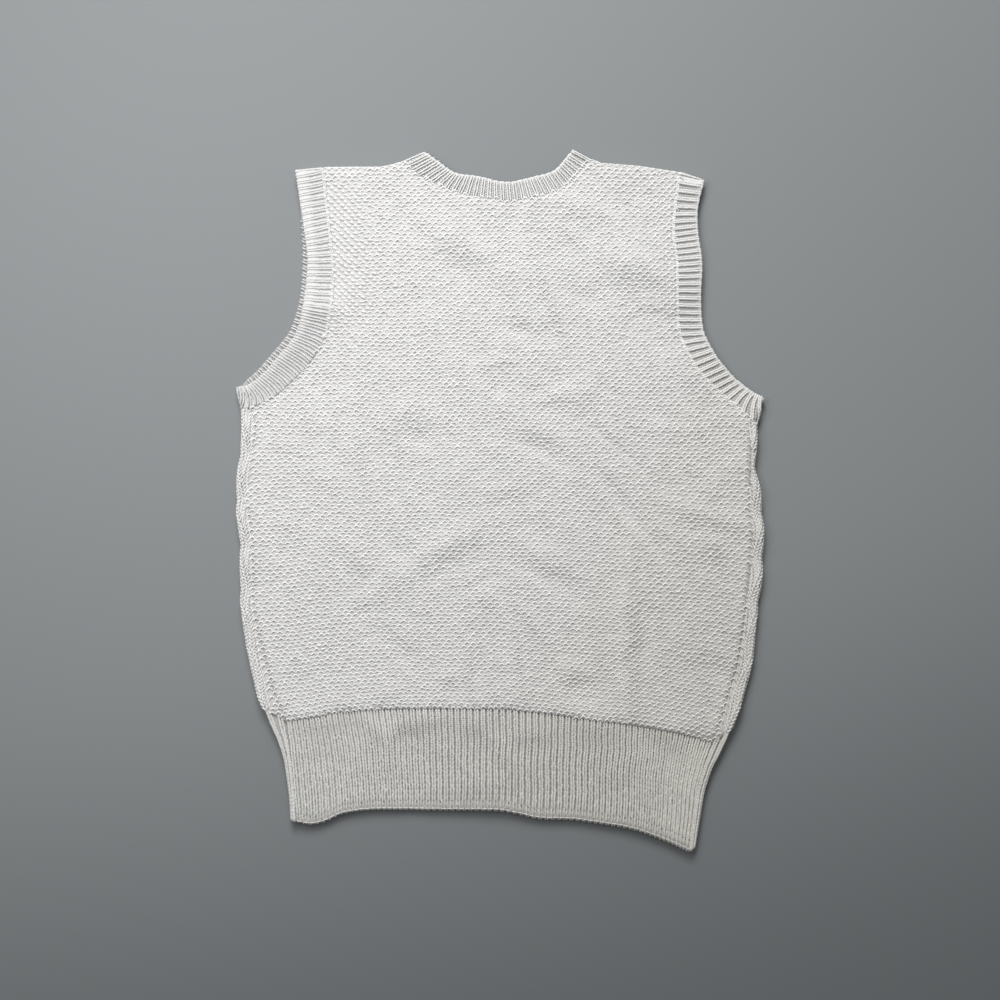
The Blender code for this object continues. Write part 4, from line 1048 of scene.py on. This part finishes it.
bm = bmesh.new()
for strip in (leftStrip, rightStrip):
    addPatch(bm, *strip, *grooved(strip))
for outline, level in frontShoulders:
    fold = shoulderPatch(outline, level, -1)
    foldLift = np.linspace(frontLift, cloth["baseLift"], len(fold[0]))
    # the same painted shade on the front's wall as on the back's
    addPatch(bm, *fold, foldLift[:, None], body["toneAndShade"])
addFlat(bm, np.vstack([
    leftStrip[0][:, -1, :2],
    lineBelow(leftStrip[0][-1, -1], rightStrip[0][-1, -1], hemY),
    rightStrip[0][::-1, -1, :2],
    rightHoleFront[::-1],
    frontShoulders[1][1][1:],
    neckBelow[::-1],
    frontShoulders[0][1][::-1],
    leftHoleFront[1:],
]))
frontBase = wallFrom("frontPanel", bm, knit["bodyBase"])
print("front wall", len(frontBase.data.polygons), "faces")


def wrapLegs(template, strip, distanceAt, lift, halfStitch):  # a column of V stitches down a side
    points = strip[0]
    alongFold = distances(points[:, stripColumn["stitches"]])
    at = np.linspace(0, alongFold[-1], round(alongFold[-1] / wrap["row"]) + 1)
    stepRow = np.interp(at, alongFold, np.arange(len(points)))
    rowRun = readAt(np.arange(len(points)), runAcross(points), stepRow)
    target = distanceAt(at, rowRun[:, stripColumn["outline"]])  # from the side seam
    columnAt = np.array([np.interp(d, run, np.arange(len(run))) for d, run in zip(target, rowRun)])
    lift = np.broadcast_to(lift(at) if callable(lift) else lift, at.shape)
    lift = (lift[1:] + lift[:-1])[::-1] / 2
    beside = ((target[1:] > wrap["nearSeam"]) & (target[:-1] > wrap["nearSeam"]))[::-1]
    sets = []
    for made in legPair(template, strip, stepRow[None, ::-1], columnAt[None, ::-1], halfStitch, lift):
        seen = (made[4][:, 2] > wrap["below"]) & beside
        sets.append((template, *(part[seen] for part in made[1:])))
    return sets


def cableSets(strip):  # two strands of two columns each that cross over one another
    sets = wrapLegs(
        holeLeg, strip, lambda at, edge: edge - wrap["holes"], wrap["holeLift"], wrap["holeHalf"],
    )
    for strand in (1, -1):
        for side in (-1, 1):

            def distanceAt(at, edge):
                swing = strand * wrap["strandSwing"] * np.cos(math.pi * at / wrap["cable"])
                return edge - wrap["strandPlace"] + swing + side * wrap["strandHalf"]

            def liftAt(at):
                rise = strand * cableEnding(at, wrap["flattest"]) * wrap["strandLift"]
                return wrap["cableLift"] + rise * np.sin(math.pi * at / wrap["cable"])

            sets += wrapLegs(cableLeg, strip, distanceAt, liftAt, wrap["halfStitch"])
    return sets


sets = cableSets(leftStrip) + cableSets(rightStrip)
sideStitches = yarnPiece("sideStitches", sets, knit["edgeYarn"])

# Front hem rib, seen as a smooth strip beside the back's ribs

hemWrap = {  # shares are of the way from the side seam to the outline
    # the strip's wall gets this share of its yarn's colour, the rest painted shade
    "shares": (0.16, 0.31, 0.64, 0.79, 1.12, 1.27), "lift": 0.0007, "toneAndShade": 0.4,
}
leftHemStrip, rightHemStrip = sideStrip(leftHemLine, False), sideStrip(rightHemLine, False)
bm = bmesh.new()
hemStripLift = mix(cloth["baseLift"] - cloth["betweenRibs"], frontLift, hidden)
for strip in (leftHemStrip, rightHemStrip):
    addPatch(bm, *strip, hemStripLift, np.maximum(hidden, hemWrap["toneAndShade"]))
addFlat(bm, np.vstack([
    leftHemStrip[0][:, -1, :2],
    lineBelow(leftHemStrip[0][-1, -1], rightHemStrip[0][-1, -1], hemEdgeY),
    rightHemStrip[0][::-1, -1, :2],
    lineBelow(leftHemStrip[0][0, -1], rightHemStrip[0][0, -1], hemY)[::-1],
]))
frontHemBase = wallFrom("frontHemRib", bm, knit["ribBase"])
sets = []
for strip in (leftHemStrip, rightHemStrip):
    for share in hemWrap["shares"]:
        sets += wrapLegs(hemLeg, strip, lambda at, edge: edge * share, hemWrap["lift"], 0.0)
frontHemStitches = yarnPiece("frontHemStitches", sets, knit["foldYarn"])

# Bands. Tables go by distance round the band from the shoulder: pitch of the ribs, skew, which is
# how far a rib's seam end is moved towards the shoulder, and smooth, the share without grooves.
# The second kind of rib is on the stretch called crisp

# groove is the share of the yarn's colour in a band's grooves, the rest painted shade
bands = {
    "neckBand": {
        "node": "neck_band", "slot": "neck_knit", "flat": (0.450, 0.020), "area": 0.0088, "rows": 7,
        "pitch": [(0.0, 0.0059)], "skew": [(0.0, 0.0)], "smooth": [(0.0, 0.08)],
        "kinds": ("thin", "thin"), "crisp": (0.0, 1.0), "groove": 0.25, "fill": 0.0008, "sink": 0.0004,
        "beads": -0.0003,
    },
    "leftArmholeBand": {
        "node": "armhole_band_left", "slot": "left_armhole_knit", "flat": (0.500, 0.025), "area": 0.0122,
        "rows": 9, "pitch": [(0.0, 0.0057)],
        "skew": [(0.0, 0.0030), (0.02, 0.0075), (0.04, 0.0068), (0.07, 0.0045), (0.094, 0.0024),
                 (0.12, -0.0030), (0.14, -0.0048), (0.17, -0.0065), (0.20, -0.0060), (0.24, -0.0030),
                 (0.27, 0.0)],
        "smooth": [(0.0, 0.42), (0.11, 0.38), (0.15, 0.16), (0.27, 0.13)],
        "kinds": ("soft", "crisp"), "crisp": (0.125, 0.40), "groove": 0.88, "fill": 0.0006, "sink": 0.0002,
        "hook": 0.0022, "shown": 0.45, "yarn": "softYarn",
        "chain": (0.0, 0.150), "chainLift": 0.0004,
    },
    "rightArmholeBand": {
        "node": "armhole_band_right", "slot": "right_armhole_knit", "flat": (0.490, 0.023), "area": 0.0110,
        "rows": 9,
        "pitch": [(0.0, 0.0072), (0.030, 0.0068), (0.040, 0.0057), (0.085, 0.0057), (0.095, 0.0066)],
        "skew": [(0.0, -0.0030), (0.01, -0.0040), (0.04, -0.0032), (0.06, -0.0022), (0.10, -0.0012),
                 (0.14, 0.0), (0.17, -0.0040), (0.20, -0.0060), (0.22, -0.0080), (0.235, -0.0100),
                 (0.25, -0.0060), (0.27, 0.0)],
        "smooth": [(0.0, 0.10)], "light": 0.008,
        "kinds": ("close", "close"), "crisp": (0.0, 1.0), "groove": 0.30, "fill": 0.0010, "sink": 0.0005,
        "beads": -0.0004, "chain": (0.0, 0.230), "chainLift": 0.0000,
    },
}
bandRows = {
    "neckBand": (neckLine, frontNeckRows()),
    "leftArmholeBand": (leftHole, frontRows(leftHole)),
    "rightArmholeBand": (rightHole, frontRows(rightHole)),
}
ribShapes = {  # a leg's radius, lean and crest, how far from the rib's middle it lies, and its lift; crest lessens the painted shade on the leg's lower side
    "soft": (0.00112, 0.00025, 0.4, 0.00096, 0.0005),
    "crisp": (0.00094, 0.00022, 0.0, 0.00122, 0.0009),
    "close": (0.00100, 0.00025, 0.0, 0.00088, 0.0009),
    "thin": (0.00080, 0.00020, 0.0, 0.00108, 0.0008),
}
rungs = {  # ribs of the front half that show beside the left band
    "start": 0.042, "pitch": 0.0062, "gap": 0.00120, "lift": 0.0011, "reach": (0.3, 3.8), "steps": 5,
    # the gaps between them get this share of the yarn's colour, the rest painted shade
    "skew": 0.0040, "toneAndShade": 0.3,
}
ribbing = {  # the same on all three bands
    "row": 0.0027,
    "show": -0.2,  # ribs face up at least this much
    "closing": 0.012,  # tables go back to their first value this far before the ring's end
    "smoothing": (-0.10, 0.12),  # ribs fade out over these shares about the smooth part's limit
    "hookLength": 0.03, "hookSpread": 30.0,  # hooked rib ends differ in length
    "skewFrom": 0.3,  # the share at which a rib isn't moved
    "middle": 4,  # column of the ring's grid
    "steps": 2000,  # along the ring, to count its ribs
    "chainRow": 0.0031, "chainHalf": 0.0006, "chainColumn": 0.1, "chainJitter": 0.00018,
    "lastEdge": 0.9999, "leastGap": 8,  # rows between the two halves of the free edge's cord
}
rungLeg = legShape(0.00082, 0.00010, overlap=0.85, dip=0.0002, row=ribbing["row"], crest=0.8)


def fromTable(table, at):
    return np.interp(at, *zip(*table))


def closed(table, last, ringLength):
    return table + [(ringLength - ribbing["closing"], last), (ringLength, table[0][1])]


def makeBand(name, facts):
    ring = tuple(np.concatenate([table, table[:1]]) for table in bandPatch(*bandRows[name]))
    lastColumn = ring[0].shape[1] - 1
    share = np.linspace(0, 1, lastColumn + 1)
    alongRing = distances(ring[0][:, ribbing["middle"]])
    ringRow = np.arange(len(alongRing))
    ringLength = alongRing[-1]
    smoothTable = closed(facts["smooth"], facts["smooth"][-1][1], ringLength)
    skewTable = closed(facts["skew"], 0.0, ringLength)

    def smoothness(at, share):  # 1 where the band is smooth, by its free edge
        limit = fromTable(smoothTable, at)
        return 1 - smoothStep(share, limit + ribbing["smoothing"][0], limit + ribbing["smoothing"][1])

    smooth = smoothness(alongRing[:, None], share[None])
    facing = ring[1][:, ribbing["middle"], 2]
    under = smoothStep(-facing, 0.0, 1.0)[:, None]
    lift = mix(cloth["baseLift"] - cloth["betweenRibs"] + facts["fill"] * smooth, frontLift, under)
    fromFold = np.minimum(alongRing, ringLength - alongRing)
    # painted shade in the grooves, none on the smooth part
    toneAndShade = np.maximum(smooth, facts["groove"])
    if "light" in facts:  # hardly any painted groove shade beside the shoulder
        toneAndShade = np.maximum(toneAndShade, 1 - smoothStep(fromFold, 0.5 * facts["light"], facts["light"])[:, None])
    if "shown" in facts:  # this much of the front half is seen from above, with painted shade in its gaps
        under = under * smoothStep(share, facts["shown"] - 0.1, facts["shown"])[None]
        toneAndShade = np.where(facing[:, None] < -0.5, rungs["toneAndShade"], toneAndShade)
    bm = bmesh.new()
    addPatch(bm, *ring, lift, np.maximum(toneAndShade, under))
    base = wallFrom(name, bm, knit["bandBase"])
    steps = np.linspace(0, 1, facts["rows"] + 1)
    legSteps = ((steps[1:] + steps[:-1]) / 2)[None, ::-1]

    def ribLines(at):  # rows and columns of the ring along each rib, from its seam end
        hookTo = facts["crisp"][0] + ribbing["hookLength"]
        hook = facts.get("hook", 0.0) * smoothStep(at, facts["crisp"][0], hookTo)[:, None]
        skew = fromTable(skewTable, at)[:, None] * (steps - ribbing["skewFrom"])[None]
        places = at[:, None] - skew + hook * steps[None] ** 3
        ending = 1 - ribbing["hookSpread"] * hook * random.random((len(at), 1))
        rows = np.interp(places % ringLength, alongRing, ringRow)
        return rows[:, ::-1], (steps * lastColumn * ending)[:, ::-1]

    def showing(at):
        return at[np.interp(at, alongRing, facing) > ribbing["show"]]

    fine = np.linspace(0, ringLength, ribbing["steps"])
    counted = np.concatenate([[0], np.cumsum(np.diff(fine) / fromTable(facts["pitch"], fine[1:]))])
    count = round(counted[-1])
    ribAt = np.interp((np.arange(count) + 0.5) / count, counted / counted[-1], fine)
    grooveAt = np.interp(np.arange(count) / count, counted / counted[-1], fine)
    crisp = (ribAt > facts["crisp"][0]) & (ribAt < facts["crisp"][1])
    sets = []
    for kind, at in zip(facts["kinds"], (showing(ribAt[~crisp]), showing(ribAt[crisp]))):
        if len(at):
            radius, lean, crest, gap, ribLift = ribShapes[kind]
            ribLeg = legShape(radius, lean, overlap=0.82, dip=0.0003, row=ribbing["row"], crest=crest)
            ribLift = ribLift - facts["sink"] * smoothness(at[:, None], legSteps)
            sets += legPair(ribLeg, ring, *ribLines(at), gap, ribLift)
    if "beads" in facts:
        sets.append(legs(beadLeg, ring, *ribLines(showing(grooveAt)), 0.0, facts["beads"]))
    edgeAt = showing(np.append(grooveAt, ribbing["lastEdge"] * ringLength))
    edgeRow = np.interp(edgeAt, alongRing, ringRow)
    for half in np.split(edgeRow, np.flatnonzero(np.diff(edgeRow) > ribbing["leastGap"]) + 1):
        if len(half) > 1:
            edgeColumn = np.full((1, len(half)), edgeCord["column"])
            sets.append(legs(cordLeg, ring, half[None], edgeColumn, 0.0, edgeCord["lift"]))
    if "chain" in facts:  # a row of V stitches beside the seam
        seamRun = distances(ring[0][:, lastColumn])
        ends = np.interp(np.interp(facts["chain"], alongRing, ringRow), ringRow, seamRun)
        chain = np.linspace(*ends, round((ends[1] - ends[0]) / ribbing["chainRow"]))
        chain = np.interp(chain, seamRun, ringRow)[None]
        sets += legPair(
            chainLeg, ring, chain, np.full_like(chain, lastColumn - ribbing["chainColumn"]),
            ribbing["chainHalf"], facts["chainLift"], flipped=True, jitter=ribbing["chainJitter"],
        )
    if "shown" in facts:
        front = np.abs(facing + 1) < 1e-6  # faces straight down
        upper = (ring[0][front], -ring[1][front])
        length = distances(upper[0][:, 0])
        reach = np.linspace(*rungs["reach"], rungs["steps"])[None]
        at = np.arange(1.5 * rungs["pitch"], length[-1] - rungs["start"], rungs["pitch"])
        tilt = rungs["skew"] * (reach / rungs["reach"][1] - 0.5)
        at = np.interp(at[:, None] - tilt, length, np.arange(len(length)))
        reach = np.broadcast_to(reach, at.shape)
        sets += legPair(rungLeg, upper, at, reach, rungs["gap"], rungs["lift"])
    stitches = yarnPiece(name + "Stitches", sets, knit[facts.get("yarn", "bandYarn")])
    print(name, count, "ribs round")
    return base, facts["node"], facts["flat"], facts["area"], ["frontPanel"], [stitches]


bandSheets = [makeBand(name, facts) for name, facts in bands.items()]

# Floor, light and camera

studio = {
    # painted shade: the floor is darker towards the bottom and a little to the right
    "floor": {
        "along": (0.25, -1.0, 0.0), "from": 0.05, "to": 0.60,
        "near": (0.274, 0.290, 0.297), "far": (0.170, 0.182, 0.190),
    },
    "floorSize": 12.0, "floorLevel": -0.0004, "floorRoughness": 0.8,
    "around": (0.95, 0.95, 0.96, 1), "aroundStrength": 0.25,
    "cameraHeight": 1.2724, "centreX": -0.00046, "lens": 50.0, "sensor": 36.0,
}
lights = {  # place, size, power, colour
    "keyLight": ((-0.15, 1.65, 1.28), 0.8, 29.8, (1.0, 0.997, 0.99)),
    "sideLight": ((-0.42, 0.32, 0.78), 0.5, 2.88, (0.99, 0.993, 1.0)),
}
floorMaterial = bpy.data.materials.new("paleFloor")
floorMaterial.use_nodes = True
floorTree = floorMaterial.node_tree
floorPlace = addNode(floorTree, "ShaderNodeTexCoord").outputs["Object"]
setInputs(floorTree, floorTree.nodes["Principled BSDF"], {
    "Base Color": shadeAlong(floorTree, floorPlace, studio["floor"]), "Roughness": studio["floorRoughness"],
})
bm = bmesh.new()
bmesh.ops.create_grid(bm, x_segments=1, y_segments=1, size=studio["floorSize"])
floorMesh = meshFrom("floor", bm)
floorMesh.materials.append(floorMaterial)
floorMesh.transform(Matrix.Translation((0, 0, studio["floorLevel"])))
floor = addObject("floor", floorMesh)

# What stands for what, and the flat sizes of the cloth: width and length, then area

sheets = [
    (backBase, "back_panel", (0.470, 0.505), 0.196, ["frontPanel"], bodyStitches),
    (frontBase, "front_panel", (0.520, 0.505), 0.206, ["floor"], [sideStitches]),
    (hemBase, "back_hem_rib", (0.390, 0.098), 0.0355, ["frontHemRib"], [hemStitches]),
    (frontHemBase, "front_hem_rib", (0.420, 0.098), 0.0410, ["floor"], [frontHemStitches]),
    *bandSheets,
]
for piece, node, flat, area, below, pieces in sheets:
    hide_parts(node)

for name, (place, size, power, colour) in lights.items():  # each points at the middle of the vest
    data = bpy.data.lights.new(name, "AREA")
    data.shape, data.size, data.energy, data.color = "SQUARE", size, power, colour
    light = addObject(name, data)
    light.location = place
    x, y, z = place
    light.rotation_euler = (math.atan2(math.hypot(x, y), z), 0.0, math.atan2(y, x) + math.pi / 2)
world = bpy.data.worlds.new("studio")
world.use_nodes = True
background = world.node_tree.nodes["Background"]
background.inputs["Color"].default_value = studio["around"]
background.inputs["Strength"].default_value = studio["aroundStrength"]
bpy.context.scene.world = world
bpy.context.scene.view_settings.view_transform = "Standard"

cameraData = bpy.data.cameras.new("camera")
cameraData.lens, cameraData.sensor_width = studio["lens"], studio["sensor"]
camera = addObject("camera", cameraData)
camera.location = (studio["centreX"], 0.0, studio["cameraHeight"])
bpy.context.scene.camera = camera
print("floor, lights and camera ready")

shown = bpy.context.evaluated_depsgraph_get()
faceCounts = {}
for piece in bpy.context.scene.objects:
    if piece.type == "MESH" and not piece.hide_render and piece != floor:
        mesh = piece.evaluated_get(shown).data
        mesh.calc_loop_triangles()
        faceCounts[piece.name] = len(mesh.loop_triangles)
print("triangles", sum(faceCounts.values()), faceCounts)
